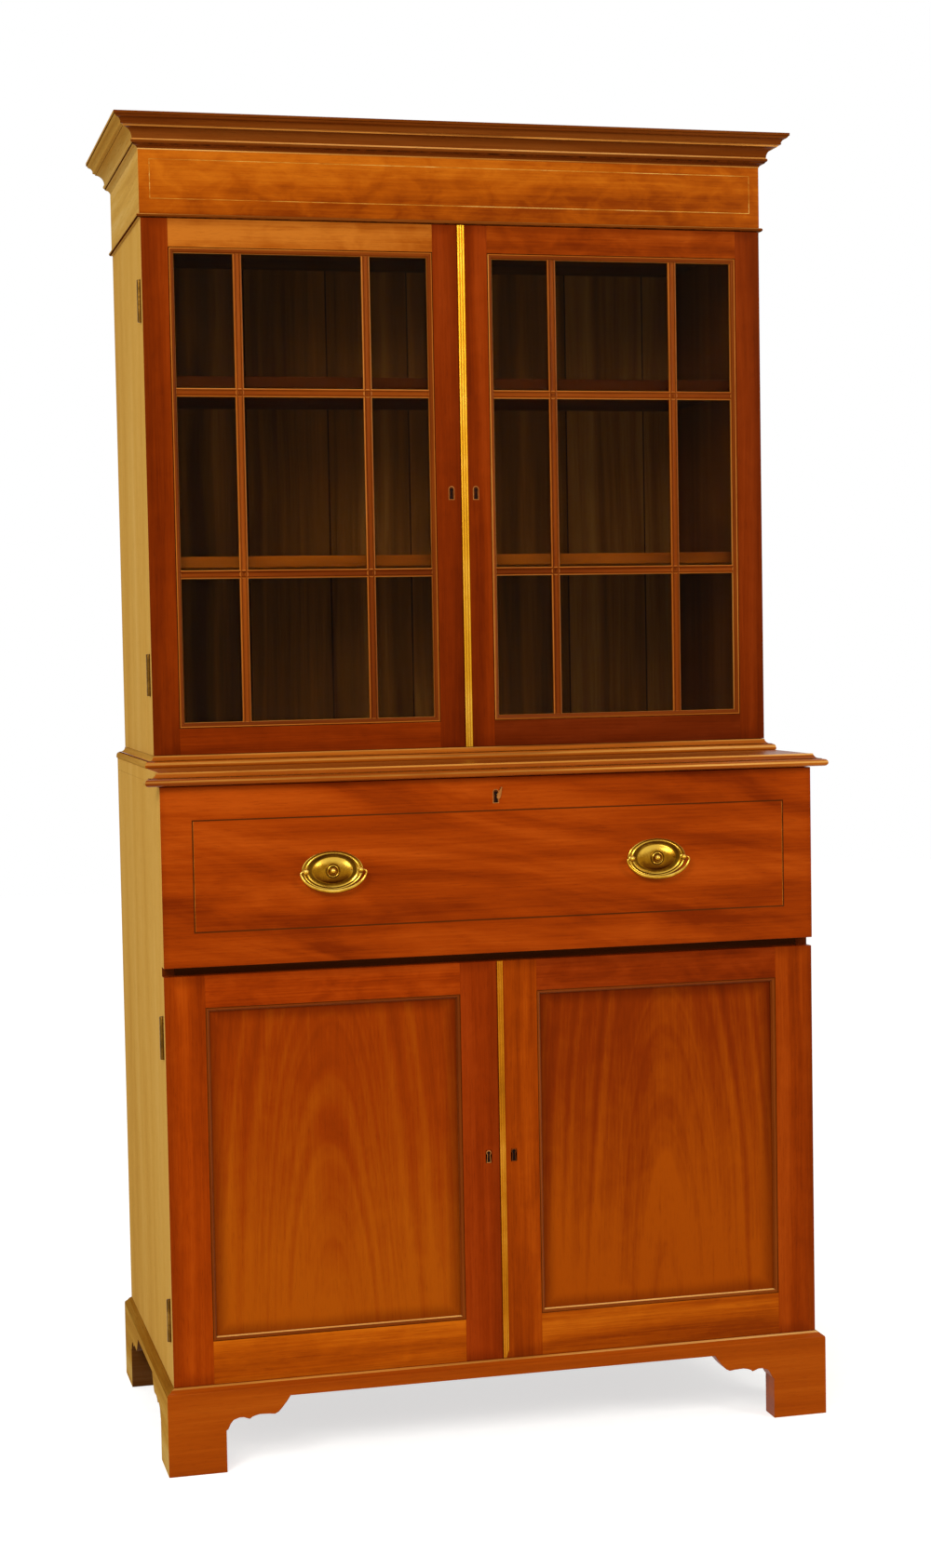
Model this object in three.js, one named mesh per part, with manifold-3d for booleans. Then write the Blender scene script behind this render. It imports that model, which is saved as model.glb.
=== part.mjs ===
// Secretaire bookcase: a glazed bookcase standing on a lower case with a fall-front
// writing drawer over a pair of cupboard doors.
// Millimetres. X to the right, Y to the back, Z up. The lower doors' front face lies at
// FACE_Y, and everything inside the cabinet group is measured from that face.

import * as THREE from 'three';
import { mergeVertices } from 'three/addons/utils/BufferGeometryUtils.js';
import Module from 'manifold-3d';

const wasm = await Module();
wasm.setup();

// Whole piece
const CASE_HALF = 537;
const UPPER_STEP_IN = 14;
const BACK_DEPTH = 575;
const UPPER_SETBACK = 169.2;
const BOARD_T = 20;
const BACK_T = 8;
const BACK_INSET = 2;
const FIT = 0.3;
const OVERRUN = 3;

// Doors
const DOOR_T = 20;
const DOOR_GAP = 0.6;
const LOWER_DOOR_HEIGHT = 646.4;
const UPPER_DOOR_HEIGHT = 857.8;
const LOWER_JOINT_X = -2.9;
const UPPER_JOINT_X = -4.7;
const LEAF_GAP = 0.3;

// Plinth with bracket feet
const PLINTH_HEIGHT = 137.5;
const PLINTH_OUT = 14.9;
const PLINTH_SIDE_OUT = 12.6;
const PLINTH_T = 40;
const FOOT_RUN = 195;
const APRON_Z = 113.5;
const OVOLO_OUT = 13;
const OVOLO_HEIGHT = 11;

// Lower case
const TOP_BOARD_T = 20.5;
const DUSTBOARD_RISE = 0.5;
const RUNNER_HEIGHT = 14;
const DRAWER_RAIL_DEPTH = 45;
const RUNNER_WIDTH = 12.4;
const CUPBOARD_SHELF_UP = 300;
const CUPBOARD_SHELF_IN = 45;
const NOSING_OUT = 24;
const NOSING_RETURN = 3;
const WAIST_OUT = 15.8;

// Secretaire drawer
const FALL_GAP = 14;
const FALL_HEIGHT = 282;
const FALL_TOP_GAP = 2;
const FALL_T = 24;
const FALL_PROUD = 4;
const FALL_AXIS_UP = 3.5;
const FALL_AXIS_IN = 8;
const DRAWER_SIDE_T = 12;
const DRAWER_SIDE_GAP = 0.5;
const DRAWER_SIDE_HEIGHT = 266;
const DRAWER_BOTTOM_T = 16;
const DRAWER_END_GAP = 20;
const STAY_R = 150;
const STAY_WIDTH = 12;
const STAY_T = 3;
const STAY_DROP = THREE.MathUtils.degToRad(0.5);
const STAY_STEPS = 16;
const STAY_FLANGE_HEIGHT = 44;
const STAY_FLANGE_T = 2;
const STAY_SLOT_CLEAR = 2;
const FALL_HINGE_IN = 187;
const FALL_HINGE_LENGTH = 60;
const FALL_HINGE_R = 3;
const FALL_STRAP_T = 2;
const FALL_STRAP_LENGTH = 66;

// Fitment in the drawer
const FITMENT_IN = 230;
const FITMENT_T = 8;
const FITMENT_ROW = 96;
const FITMENT_UPPER_HOLES = 6;
const FITMENT_LOWER_HOLES = 3;

// Upper case
const BASE_BOARD_T = 19;
const BOOKSHELF_T = 18.5;
const LOWER_BOOKSHELF_UP = 302;
const UPPER_BOOKSHELF_UP = 593.5;
const BOOKSHELF_IN = 10;
const BEAD_HEIGHT = 6.2;
const BEAD_OUT = 5;
const FRIEZE_HEIGHT = 101;
const FRIEZE_PROUD = 1.4;
const FRIEZE_T = 20;
const CORNICE_HEIGHT = 51.8;
const CORNICE_OUT = 41;
const CORNICE_TOP_T = 16;
const CORNICE_TOP_DOWN = 4;

// Glazed doors
const UPPER_MEETING_STILE = 50.3;
const UPPER_HINGE_STILE = 52;
const UPPER_TOP_RAIL = 53.9;
const UPPER_BOTTOM_RAIL = 51.4;
const UPPER_STICK_OUT = 9;
const UPPER_STICK_DEPTH = 5;
const UPPER_REBATE_Y = 9;
const REBATE_WIDTH = 6;
const BAR_WIDTH = 14;
const BAR_SET = 1;
const SIDE_LIGHT = 102.4;
const LOW_LIGHT = 238.6;
const HIGH_LIGHT = 221.5;
const GLASS_T = 3;
const UPPER_STRIP_WIDTH = 12.8;
const STRIP_T = 3.4;

// Panelled doors
const LOWER_MEETING_STILE = 70;
const LOWER_HINGE_STILE = 70.5;
const LOWER_TOP_RAIL = 57;
const LOWER_BOTTOM_RAIL = 74.4;
const LOWER_STICK_OUT = 6.5;
const LOWER_STICK_DEPTH = 6;
const LOWER_REBATE_Y = 7;
const PANEL_T = 8;
const LOWER_STRIP_WIDTH = 10.4;

// Door hinges
const HINGE_R = 4;
const HINGE_OUT = 1.9;
const HINGE_LENGTH = 68;
const HINGE_LEAF_T = 2;
const HINGE_LEAF_WIDTH = 16;
const LOWER_HINGE_LOW = 68;
const LOWER_HINGE_HIGH = 63;
const UPPER_HINGE_IN = 95.5;

// Keyholes
const KEYHOLE_HEIGHT = 22;
const KEYHOLE_DEPTH = 12;
const LOWER_KEYHOLE_IN = 21;
const LOWER_KEYHOLE_UP = 321;
const UPPER_KEYHOLE_IN = 20.8;
const UPPER_KEYHOLE_UP = 409;
const FALL_KEYHOLE_UP = 240.5;
const COVER_LENGTH = 20;
const COVER_WIDTH = 6.5;
const COVER_T = 1.4;
const COVER_LEAN = THREE.MathUtils.degToRad(18);
const COVER_PIN_R = 1.2;
const COVER_PIN_X = 9;
const COVER_PIN_UP = 2.5;

// Drawer handles
const HANDLE_IN = 269;
const HANDLE_UP = 143;
const PLATE_HALF_WIDTH = 49.5;
const PLATE_HALF_HEIGHT = 31.5;
const PLATE_RISE = 3;
const BOSS_R = 13;
const BOSS_RISE = 4.4;
const KNOB_R = 4.4;
const KNOB_OUT = 8.5;
const POST_X = 43.75;
const POST_OUT = 11;
const POST_R = 2.6;
const POST_BALL_R = 3.8;
const BAIL_HALF_WIDTH = 52.6;
const BAIL_DROP = 32;
const BAIL_R = 2.3;
const BAIL_PIN_R = 1.5;
const BAIL_STEPS = 24;
const BAIL_SIDES = 8;

const FACE_Y = -(BACK_DEPTH - NOSING_OUT) / 2;

// Heights, each from the one below it
const LOWER_DOOR_Z = PLINTH_HEIGHT + DOOR_GAP;
const LOWER_DOOR_TOP = LOWER_DOOR_Z + LOWER_DOOR_HEIGHT;
const DUSTBOARD_TOP = LOWER_DOOR_TOP + DUSTBOARD_RISE;
const FALL_Z = LOWER_DOOR_TOP + FALL_GAP;
const FALL_TOP = FALL_Z + FALL_HEIGHT;
const FALL_AXIS_Y = FALL_AXIS_IN - FALL_PROUD;
const FALL_AXIS_Z = FALL_Z + FALL_AXIS_UP;
const WRITING_Z = FALL_AXIS_Z + FALL_T - FALL_AXIS_IN;
const CASE_TOP = FALL_TOP + FALL_TOP_GAP;
const TOP_BOARD_Z = CASE_TOP + TOP_BOARD_T;
const UPPER_FLOOR = TOP_BOARD_Z + BASE_BOARD_T;
const UPPER_DOOR_Z = UPPER_FLOOR + DOOR_GAP;
const UPPER_CASE_TOP = UPPER_DOOR_Z + UPPER_DOOR_HEIGHT + DOOR_GAP;
const FRIEZE_Z = UPPER_CASE_TOP + BEAD_HEIGHT;
const CORNICE_Z = FRIEZE_Z + FRIEZE_HEIGHT;

// Depths behind the lower doors' face
const CASE_Y = DOOR_T + DOOR_GAP;
const UPPER_CASE_Y = UPPER_SETBACK + CASE_Y;
const BACK_FRONT = BACK_DEPTH - BACK_INSET - BACK_T;
const BACK_REAR = BACK_DEPTH - BACK_INSET;
const FALL_BACK = FALL_T - FALL_PROUD;
const DRAWER_Y = CASE_Y + FIT;
const DRAWER_REAR = BACK_FRONT - DRAWER_END_GAP;

// Widths over and inside the two cases and the drawer
const UPPER_HALF = CASE_HALF - UPPER_STEP_IN;
const FALL_HINGE_X = CASE_HALF - FALL_HINGE_IN;
const HANDLE_X = CASE_HALF - HANDLE_IN;
const CASE_INNER = CASE_HALF - BOARD_T;
const UPPER_INNER = UPPER_HALF - BOARD_T;
const DRAWER_HALF = CASE_INNER - DRAWER_SIDE_GAP;
const DRAWER_INNER = DRAWER_HALF - DRAWER_SIDE_T;

// Outlines, as shares of the length and the height (or depth) that they follow
const OVOLO_SHARES = [[1, 0], [0.96, 0.3], [0.65, 0.5], [0.35, 0.83], [0, 1]];
const FOOT_SHARES = [
  [0.472, 0], [0.472, 0.59], [0.485, 0.6], [0.508, 0.68], [0.531, 0.727], [0.577, 0.753],
  [0.613, 0.753], [0.64, 0.735], [0.664, 0.721], [0.682, 0.745], [0.705, 0.76], [0.746, 0.775],
  [0.82, 0.77], [0.869, 0.76], [0.9, 0.785], [0.927, 0.833], [0.967, 0.916], [0.985, 0.96], [1, 1],
];
const NOSING_SHARES = [
  [0, 0], [0.92, 0.03], [0.99, 0.2], [1, 0.3], [0.96, 0.4], [0.8, 0.56], [0.6, 0.62],
  [0.46, 0.67], [0.36, 0.75], [0.25, 0.88], [0.19, 1], [0, 1],
];
const WAIST_SHARES = [
  [0, 0], [0.98, 0], [1, 0.13], [0.96, 0.37], [0.86, 0.49], [0.71, 0.55], [0.52, 0.59],
  [0.32, 0.69], [0.15, 0.85], [0.05, 0.97], [0, 1],
];
const BEAD_SHARES = [[0, 0], [0.62, 0.04], [0.92, 0.25], [1, 0.5], [0.92, 0.75], [0.62, 0.96], [0, 1]];
const CORNICE_SHARES = [
  [0, 0], [0.072, 0.044], [0.169, 0.115], [0.235, 0.15], [0.256, 0.19], [0.256, 0.235],
  [0.229, 0.285], [0.265, 0.337], [0.337, 0.452], [0.458, 0.558], [0.602, 0.612], [0.614, 0.63],
  [0.7, 0.668], [0.735, 0.702], [0.807, 0.808], [0.892, 0.885], [0.98, 0.905], [1, 0.93], [1, 1],
];
const STICK_SHARES = [[1, 0], [0.94, 0.3], [0.82, 0.1], [0.56, 0.04], [0.3, 0.25], [0.1, 0.6], [0, 1]];
const BAR_SHARES = [
  [-1, 1], [-1, 0.5], [-0.72, 0.36], [-0.54, 0.38], [-0.44, 0.14], [-0.2, 0], [0.2, 0],
  [0.44, 0.14], [0.54, 0.38], [0.72, 0.36], [1, 0.5], [1, 1],
];
const REED_SHARES = [[0.02, 0.45], [0.07, 0.85], [0.167, 1], [0.263, 0.85], [0.315, 0.5]];
const KEYHOLE_SHARES = [
  [-0.13, 0], [-0.09, 0.62], [-0.16, 0.72], [-0.17, 0.84], [-0.1, 0.96], [0, 1],
  [0.1, 0.96], [0.17, 0.84], [0.16, 0.72], [0.09, 0.62], [0.13, 0],
];
const COVER_SHARES = [
  [-0.26, -0.93], [0.26, -0.93], [0.46, -0.8], [0.5, -0.62], [0.42, -0.4], [0.24, -0.12],
  [0.2, 0.02], [0.1, 0.07], [-0.1, 0.07], [-0.2, 0.02], [-0.24, -0.12], [-0.42, -0.4],
  [-0.5, -0.62], [-0.46, -0.8],
];
const PLATE_SHARES = [
  [0, 0], [1, 0], [1, 0.5], [0.985, 0.85], [0.955, 1], [0.92, 0.85], [0.88, 0.45],
  [0.77, 0.45], [0.72, 0.8], [0.65, 0.95], [0.52, 0.75], [0.34, 0.6], [0, 0.55],
];
const BOSS_SHARES = [[0, 0], [1, 0], [1, 0.6], [0.93, 0.9], [0.84, 1], [0.74, 0.85], [0.6, 0.68], [0, 0.62]];

// Materials
function frontMahogany() {
  return new THREE.MeshStandardMaterial({ color: 0x9c3f0a, roughness: 0.32, metalness: 0 });
}

function flameMahogany() {
  return new THREE.MeshStandardMaterial({ color: 0xa8470c, roughness: 0.3, metalness: 0 });
}

function agedSide() {
  return new THREE.MeshStandardMaterial({ color: 0xc99a48, roughness: 0.45, metalness: 0 });
}

function darkMoulding() {
  return new THREE.MeshStandardMaterial({ color: 0x5e2c0c, roughness: 0.35, metalness: 0 });
}

function friezeVeneer() {
  return new THREE.MeshStandardMaterial({ color: 0xaa5a16, roughness: 0.35, metalness: 0 });
}

function insideWood() {
  return new THREE.MeshStandardMaterial({ color: 0x7a4a20, roughness: 0.6, metalness: 0 });
}

function brass() {
  return new THREE.MeshStandardMaterial({ color: 0xc79a35, roughness: 0.3, metalness: 1 });
}

function windowGlass() {
  return new THREE.MeshStandardMaterial({ color: 0xdfe8e6, roughness: 0.05, metalness: 0, opacity: 0.3, transparent: true });
}

// A closed mesh as a solid that can be cut and joined
function solidOf(geometry) {
  const plain = geometry.clone();
  plain.deleteAttribute('normal');
  plain.deleteAttribute('uv');
  const merged = mergeVertices(plain);
  return new wasm.Manifold(new wasm.Mesh({
    numProp: 3,
    vertProperties: new Float32Array(merged.attributes.position.array),
    triVerts: new Uint32Array(merged.index.array),
  }));
}

function geometryOf(solid) {
  const mesh = solid.getMesh();
  const geometry = new THREE.BufferGeometry();
  geometry.setAttribute('position', new THREE.BufferAttribute(new Float32Array(mesh.vertProperties), 3));
  geometry.setIndex(new THREE.BufferAttribute(new Uint32Array(mesh.triVerts), 1));
  geometry.computeVertexNormals();
  return geometry;
}

function cut(base, ...tools) {
  return geometryOf(tools.reduce((solid, tool) => solid.subtract(solidOf(tool)), solidOf(base)));
}

function join(base, ...others) {
  return geometryOf(others.reduce((solid, other) => solid.add(solidOf(other)), solidOf(base)));
}

function common(base, other) {
  return geometryOf(solidOf(base).intersect(solidOf(other)));
}

// The same piece for the other hand, reflected in the X = 0 plane
function mirrored(geometry) {
  const other = mergeVertices(geometryOf(solidOf(geometry)));
  other.scale(-1, 1, 1);
  const index = other.index.array;
  for (let i = 0; i < index.length; i += 3) {
    const first = index[i];
    index[i] = index[i + 1];
    index[i + 1] = first;
  }
  other.computeVertexNormals();
  return other;
}

function block(x0, x1, y0, y1, z0, z1) {
  const box = new THREE.BoxGeometry(x1 - x0, y1 - y0, z1 - z0);
  return box.translate((x0 + x1) / 2, (y0 + y1) / 2, (z0 + z1) / 2);
}

function outline(points) {
  return new THREE.Shape(points.map(([u, v]) => new THREE.Vector2(u, v)));
}

// An outline in X and Z, carried from y0 back to y1
function prismAlongY(points, y0, y1) {
  const prism = new THREE.ExtrudeGeometry(outline(points), { depth: y1 - y0, bevelEnabled: false });
  return prism.rotateX(Math.PI / 2).translate(0, y1, 0);
}

// An outline in Y and Z, carried from x0 to x1
function prismAlongX(points, x0, x1) {
  const prism = new THREE.ExtrudeGeometry(outline(points), { depth: x1 - x0, bevelEnabled: false });
  const turn = new THREE.Matrix4().makeBasis(
    new THREE.Vector3(0, 1, 0), new THREE.Vector3(0, 0, 1), new THREE.Vector3(1, 0, 0),
  );
  return prism.applyMatrix4(turn).translate(x0, 0, 0);
}

// An outline in X and Y, carried from z0 up to z1
function prismAlongZ(points, z0, z1) {
  const prism = new THREE.ExtrudeGeometry(outline(points), { depth: z1 - z0, bevelEnabled: false });
  return prism.translate(0, 0, z0);
}

function rodAlongZ(radius, x, y, z0, z1) {
  const rod = new THREE.CylinderGeometry(radius, radius, z1 - z0, 20);
  return rod.rotateX(Math.PI / 2).translate(x, y, (z0 + z1) / 2);
}

function rodAlongX(radius, y, z, x0, x1) {
  const rod = new THREE.CylinderGeometry(radius, radius, x1 - x0, 20);
  return rod.rotateZ(Math.PI / 2).translate((x0 + x1) / 2, y, z);
}

function rodAlongY(radius, x, z, y0, y1) {
  return new THREE.CylinderGeometry(radius, radius, y1 - y0, 20).translate(x, (y0 + y1) / 2, z);
}

function scaled(shares, length, height) {
  return shares.map(([u, v]) => [u * length, v * height]);
}

// A moulding that runs along the left side, across the front and back along the right
// side, mitred at both corners. The outline is (out from the face, height).
function mouldingRun(profile, half, frontY, backY) {
  const stations = [
    ([out, z]) => [-half - out, backY, z],
    ([out, z]) => [-half - out, frontY - out, z],
    ([out, z]) => [half + out, frontY - out, z],
    ([out, z]) => [half + out, backY, z],
  ];
  const positions = stations.flatMap((station) => profile.flatMap(station));
  const count = profile.length;
  const index = [];
  for (let s = 0; s + 1 < stations.length; s += 1) {
    for (let i = 0; i < count; i += 1) {
      const a = s * count + i;
      const b = s * count + (i + 1) % count;
      index.push(a, a + count, b, b, a + count, b + count);
    }
  }
  const flat = profile.map(([out, z]) => new THREE.Vector2(out, z));
  const last = (stations.length - 1) * count;
  for (const [a, b, c] of THREE.ShapeUtils.triangulateShape(flat, [])) {
    index.push(a, b, c);
    index.push(last + a, last + c, last + b);
  }
  return meshOf(positions, index);
}

// A mitred frame: each profile point is a closed rectangle, either at a distance out
// from the sight opening or, where that distance is null, at the outer edge.
function mitredFrame(outer, sight, profile) {
  const positions = profile.flatMap(([out, y]) => {
    const ring = out === null ? outer : {
      x0: sight.x0 - out, x1: sight.x1 + out, z0: sight.z0 - out, z1: sight.z1 + out,
    };
    return [ring.x0, y, ring.z0, ring.x1, y, ring.z0, ring.x1, y, ring.z1, ring.x0, y, ring.z1];
  });
  const count = profile.length;
  const corners = 4;
  const index = [];
  for (let i = 0; i < count; i += 1) {
    for (let c = 0; c < corners; c += 1) {
      const a = i * corners + c;
      const b = i * corners + (c + 1) % corners;
      const d = ((i + 1) % count) * corners + c;
      const e = ((i + 1) % count) * corners + (c + 1) % corners;
      index.push(a, b, d, b, e, d);
    }
  }
  return meshOf(positions, index);
}

function meshOf(positions, index) {
  const geometry = new THREE.BufferGeometry();
  geometry.setAttribute('position', new THREE.BufferAttribute(new Float32Array(positions), 3));
  geometry.setIndex(index);
  geometry.computeVertexNormals();
  return geometry;
}

function turned(shares, radius, rise) {
  const points = shares.map(([r, h]) => new THREE.Vector2(r * radius, h * rise));
  return new THREE.LatheGeometry(points, 28).rotateX(Math.PI);
}

// Plinth: a front board and two side boards, moulded along the top and cut away below
// between bracket feet
function plinthSection(out) {
  const ovolo = scaled(OVOLO_SHARES, OVOLO_OUT, OVOLO_HEIGHT);
  const start = out - OVOLO_OUT;
  return ovolo.map(([k, z]) => [start + k, PLINTH_HEIGHT - OVOLO_HEIGHT + z]);
}

function plinthBody() {
  const front = plinthSection(PLINTH_OUT).map(([k, z]) => [-k, z]);
  const side = plinthSection(PLINTH_SIDE_OUT).map(([k, z]) => [CASE_HALF + k, z]);
  const along = prismAlongX(
    [[-PLINTH_OUT, 0], [BACK_DEPTH, 0], [BACK_DEPTH, PLINTH_HEIGHT], ...front.reverse()],
    -CASE_HALF - PLINTH_SIDE_OUT, CASE_HALF + PLINTH_SIDE_OUT,
  );
  const across = prismAlongY(
    [
      [-CASE_HALF - PLINTH_SIDE_OUT, 0], [CASE_HALF + PLINTH_SIDE_OUT, 0],
      ...side, ...side.map(([x, z]) => [-x, z]).reverse(),
    ],
    -PLINTH_OUT, BACK_DEPTH,
  );
  return common(along, across);
}

function bracketOpening(from, to) {
  const foot = scaled(FOOT_SHARES, FOOT_RUN, APRON_Z);
  const start = foot[0];
  return [
    [from + start[0], -OVERRUN], ...foot.map(([u, z]) => [from + u, z]),
    ...foot.map(([u, z]) => [to - u, z]).reverse(), [to - start[0], -OVERRUN],
  ];
}

function plinthFront() {
  const edge = CASE_HALF + PLINTH_SIDE_OUT;
  const board = common(plinthBody(), block(
    -edge - OVERRUN, edge + OVERRUN, -PLINTH_OUT - OVERRUN, PLINTH_T - PLINTH_OUT,
    -OVERRUN, PLINTH_HEIGHT + OVERRUN,
  ));
  return cut(board, prismAlongY(bracketOpening(-edge, edge), -PLINTH_OUT - OVERRUN, PLINTH_T));
}

function plinthSide() {
  const edge = CASE_HALF + PLINTH_SIDE_OUT;
  const board = common(plinthBody(), block(
    edge - PLINTH_T, edge + OVERRUN, PLINTH_T - PLINTH_OUT + FIT, BACK_DEPTH + OVERRUN,
    -OVERRUN, PLINTH_HEIGHT + OVERRUN,
  ));
  return cut(board, prismAlongX(
    bracketOpening(-PLINTH_OUT, BACK_DEPTH), edge - PLINTH_T - OVERRUN, edge + OVERRUN,
  ));
}

// Butt hinges: a knuckle outside the joint of door and side, and a leaf let into the
// side's front edge. The same cylinder, grown by the fit, clears both woods.
function hingeHeights(low, high) {
  return [low, high].map((z) => [z, z + HINGE_LENGTH]);
}

const LOWER_HINGES = hingeHeights(
  LOWER_DOOR_Z + LOWER_HINGE_LOW, LOWER_DOOR_TOP - LOWER_HINGE_HIGH - HINGE_LENGTH,
);
const UPPER_HINGES = hingeHeights(
  UPPER_DOOR_Z + UPPER_HINGE_IN, UPPER_DOOR_Z + UPPER_DOOR_HEIGHT - UPPER_HINGE_IN - HINGE_LENGTH,
);

function hingeHollows(half, faceY, heights) {
  return heights.flatMap(([z0, z1]) => [
    rodAlongZ(HINGE_R + FIT, half + HINGE_OUT, faceY + DOOR_T, z0 - FIT, z1 + FIT),
    block(
      half - HINGE_LEAF_WIDTH - FIT, half + OVERRUN, faceY + CASE_Y - OVERRUN,
      faceY + CASE_Y + HINGE_LEAF_T, z0 - FIT, z1 + FIT,
    ),
  ]);
}

function doorHinge(half, faceY, [z0, z1]) {
  const leafY = faceY + CASE_Y - FIT;
  return join(
    rodAlongZ(HINGE_R, half + HINGE_OUT, faceY + DOOR_T, z0, z1),
    block(half - HINGE_LEAF_WIDTH, half + HINGE_OUT, leafY, leafY + HINGE_LEAF_T, z0, z1),
  );
}

// Case sides
function lowerSide() {
  return cut(
    block(CASE_INNER, CASE_HALF, CASE_Y, BACK_DEPTH, PLINTH_HEIGHT, CASE_TOP),
    ...hingeHollows(CASE_HALF, 0, LOWER_HINGES),
  );
}

function upperSide() {
  return cut(
    block(UPPER_INNER, UPPER_HALF, UPPER_CASE_Y, BACK_DEPTH, UPPER_FLOOR, UPPER_CASE_TOP),
    ...hingeHollows(UPPER_HALF, UPPER_SETBACK, UPPER_HINGES),
  );
}

function between(half, y0, y1, z0, z1) {
  return block(-half + FIT, half - FIT, y0, y1, z0, z1);
}

function lowerBottom() {
  return between(CASE_INNER, CASE_Y, BACK_FRONT - FIT, PLINTH_HEIGHT, PLINTH_HEIGHT + BOARD_T);
}

// Dustboard, thickened along its front edge into the rail between the doors and the drawer
function dustboard() {
  const z = DUSTBOARD_TOP - BOARD_T;
  return join(
    between(CASE_INNER, CASE_Y, BACK_FRONT - FIT, z, DUSTBOARD_TOP),
    between(CASE_INNER, CASE_Y, CASE_Y + DRAWER_RAIL_DEPTH, z, DUSTBOARD_TOP + RUNNER_HEIGHT),
  );
}

function drawerRunner() {
  return block(
    CASE_INNER - FIT - RUNNER_WIDTH, CASE_INNER - FIT, CASE_Y + DRAWER_RAIL_DEPTH + FIT,
    BACK_FRONT - FIT, DUSTBOARD_TOP, DUSTBOARD_TOP + RUNNER_HEIGHT,
  );
}

function cupboardShelf() {
  const z = PLINTH_HEIGHT + CUPBOARD_SHELF_UP;
  return between(CASE_INNER, CASE_Y + CUPBOARD_SHELF_IN, BACK_FRONT - FIT, z, z + BOARD_T);
}

function lowerBack() {
  return between(CASE_INNER, BACK_FRONT, BACK_REAR, PLINTH_HEIGHT, CASE_TOP);
}

function lowerTop() {
  return block(-CASE_HALF, CASE_HALF, 0, BACK_DEPTH, CASE_TOP, TOP_BOARD_Z);
}

function topNosing() {
  const profile = scaled(NOSING_SHARES, NOSING_OUT, TOP_BOARD_T).map(([k, z]) => [k, CASE_TOP + z]);
  return mouldingRun(profile, CASE_HALF, 0, NOSING_RETURN);
}

// Upper case
function upperBase() {
  return between(UPPER_HALF, UPPER_SETBACK + FIT, BACK_FRONT - FIT, TOP_BOARD_Z, UPPER_FLOOR);
}

function waistMoulding() {
  const profile = scaled(WAIST_SHARES, WAIST_OUT, BASE_BOARD_T).map(([k, z]) => [k, TOP_BOARD_Z + z]);
  return mouldingRun(profile, UPPER_HALF, UPPER_SETBACK, BACK_DEPTH);
}

function upperTop() {
  return between(
    UPPER_INNER, UPPER_CASE_Y, BACK_FRONT - FIT, UPPER_CASE_TOP - BOARD_T, UPPER_CASE_TOP,
  );
}

function upperBack() {
  return between(UPPER_INNER, BACK_FRONT, BACK_REAR, UPPER_FLOOR, UPPER_CASE_TOP);
}

function bookshelf(up) {
  return between(
    UPPER_INNER, UPPER_CASE_Y + BOOKSHELF_IN, BACK_FRONT - FIT, UPPER_FLOOR + up,
    UPPER_FLOOR + up + BOOKSHELF_T,
  );
}

function runAbove(profile) {
  return mouldingRun(profile, UPPER_HALF + FRIEZE_PROUD, UPPER_SETBACK + FRIEZE_PROUD, BACK_DEPTH);
}

function beadMoulding() {
  const nose = scaled(BEAD_SHARES, BEAD_OUT, BEAD_HEIGHT).map(([k, z]) => [k, UPPER_CASE_TOP + z]);
  return runAbove([[-FRIEZE_T, UPPER_CASE_TOP], ...nose, [-FRIEZE_T, FRIEZE_Z]]);
}

function friezeBoards() {
  return runAbove([[-FRIEZE_T, FRIEZE_Z], [0, FRIEZE_Z], [0, CORNICE_Z], [-FRIEZE_T, CORNICE_Z]]);
}

function corniceMoulding() {
  const steps = scaled(CORNICE_SHARES, CORNICE_OUT, CORNICE_HEIGHT).map(([k, z]) => [k, CORNICE_Z + z]);
  return runAbove([[-FRIEZE_T, CORNICE_Z], ...steps, [-FRIEZE_T, CORNICE_Z + CORNICE_HEIGHT]]);
}

function corniceTop() {
  const top = CORNICE_Z + CORNICE_HEIGHT - CORNICE_TOP_DOWN;
  return between(
    UPPER_HALF + FRIEZE_PROUD - FRIEZE_T, UPPER_SETBACK + FRIEZE_PROUD + FRIEZE_T + FIT,
    BACK_DEPTH, top - CORNICE_TOP_T, top,
  );
}

// Keyhole, round above a slot, centred across x with its foot at z
function keyhole(x, z, faceY) {
  const points = KEYHOLE_SHARES.map(([u, v]) => [x + u * KEYHOLE_HEIGHT, z + v * KEYHOLE_HEIGHT]);
  return prismAlongY(points, faceY - OVERRUN, faceY + KEYHOLE_DEPTH);
}

// Doors. The left leaf ends just short of the joint line, the right one starts on it.
function leafRect(side, half, jointX, z0, height) {
  const edge = jointX + side * LEAF_GAP / 2;
  return {
    x0: side < 0 ? -half : edge, x1: side < 0 ? edge : half, z0, z1: z0 + height,
  };
}

function sightRect(side, half, inner, outer, leaf, bottom, top) {
  return {
    x0: side < 0 ? -half + outer : inner,
    x1: side < 0 ? -inner : half - outer,
    z0: leaf.z0 + bottom,
    z1: leaf.z1 - top,
  };
}

function frameProfile(faceY, stickOut, stickDepth, rebateY) {
  return [
    [null, faceY + DOOR_T], [null, faceY],
    ...STICK_SHARES.map(([u, v]) => [u * stickOut, faceY + v * stickDepth]),
    [0, faceY + rebateY], [REBATE_WIDTH, faceY + rebateY], [REBATE_WIDTH, faceY + DOOR_T],
  ];
}

function lowerLeaf(side) {
  return leafRect(side, CASE_HALF, LOWER_JOINT_X, LOWER_DOOR_Z, LOWER_DOOR_HEIGHT);
}

function lowerSight(side) {
  return sightRect(
    side, CASE_HALF, LOWER_MEETING_STILE, LOWER_HINGE_STILE, lowerLeaf(side),
    LOWER_BOTTOM_RAIL, LOWER_TOP_RAIL,
  );
}

function upperLeaf(side) {
  return leafRect(side, UPPER_HALF, UPPER_JOINT_X, UPPER_DOOR_Z, UPPER_DOOR_HEIGHT);
}

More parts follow.
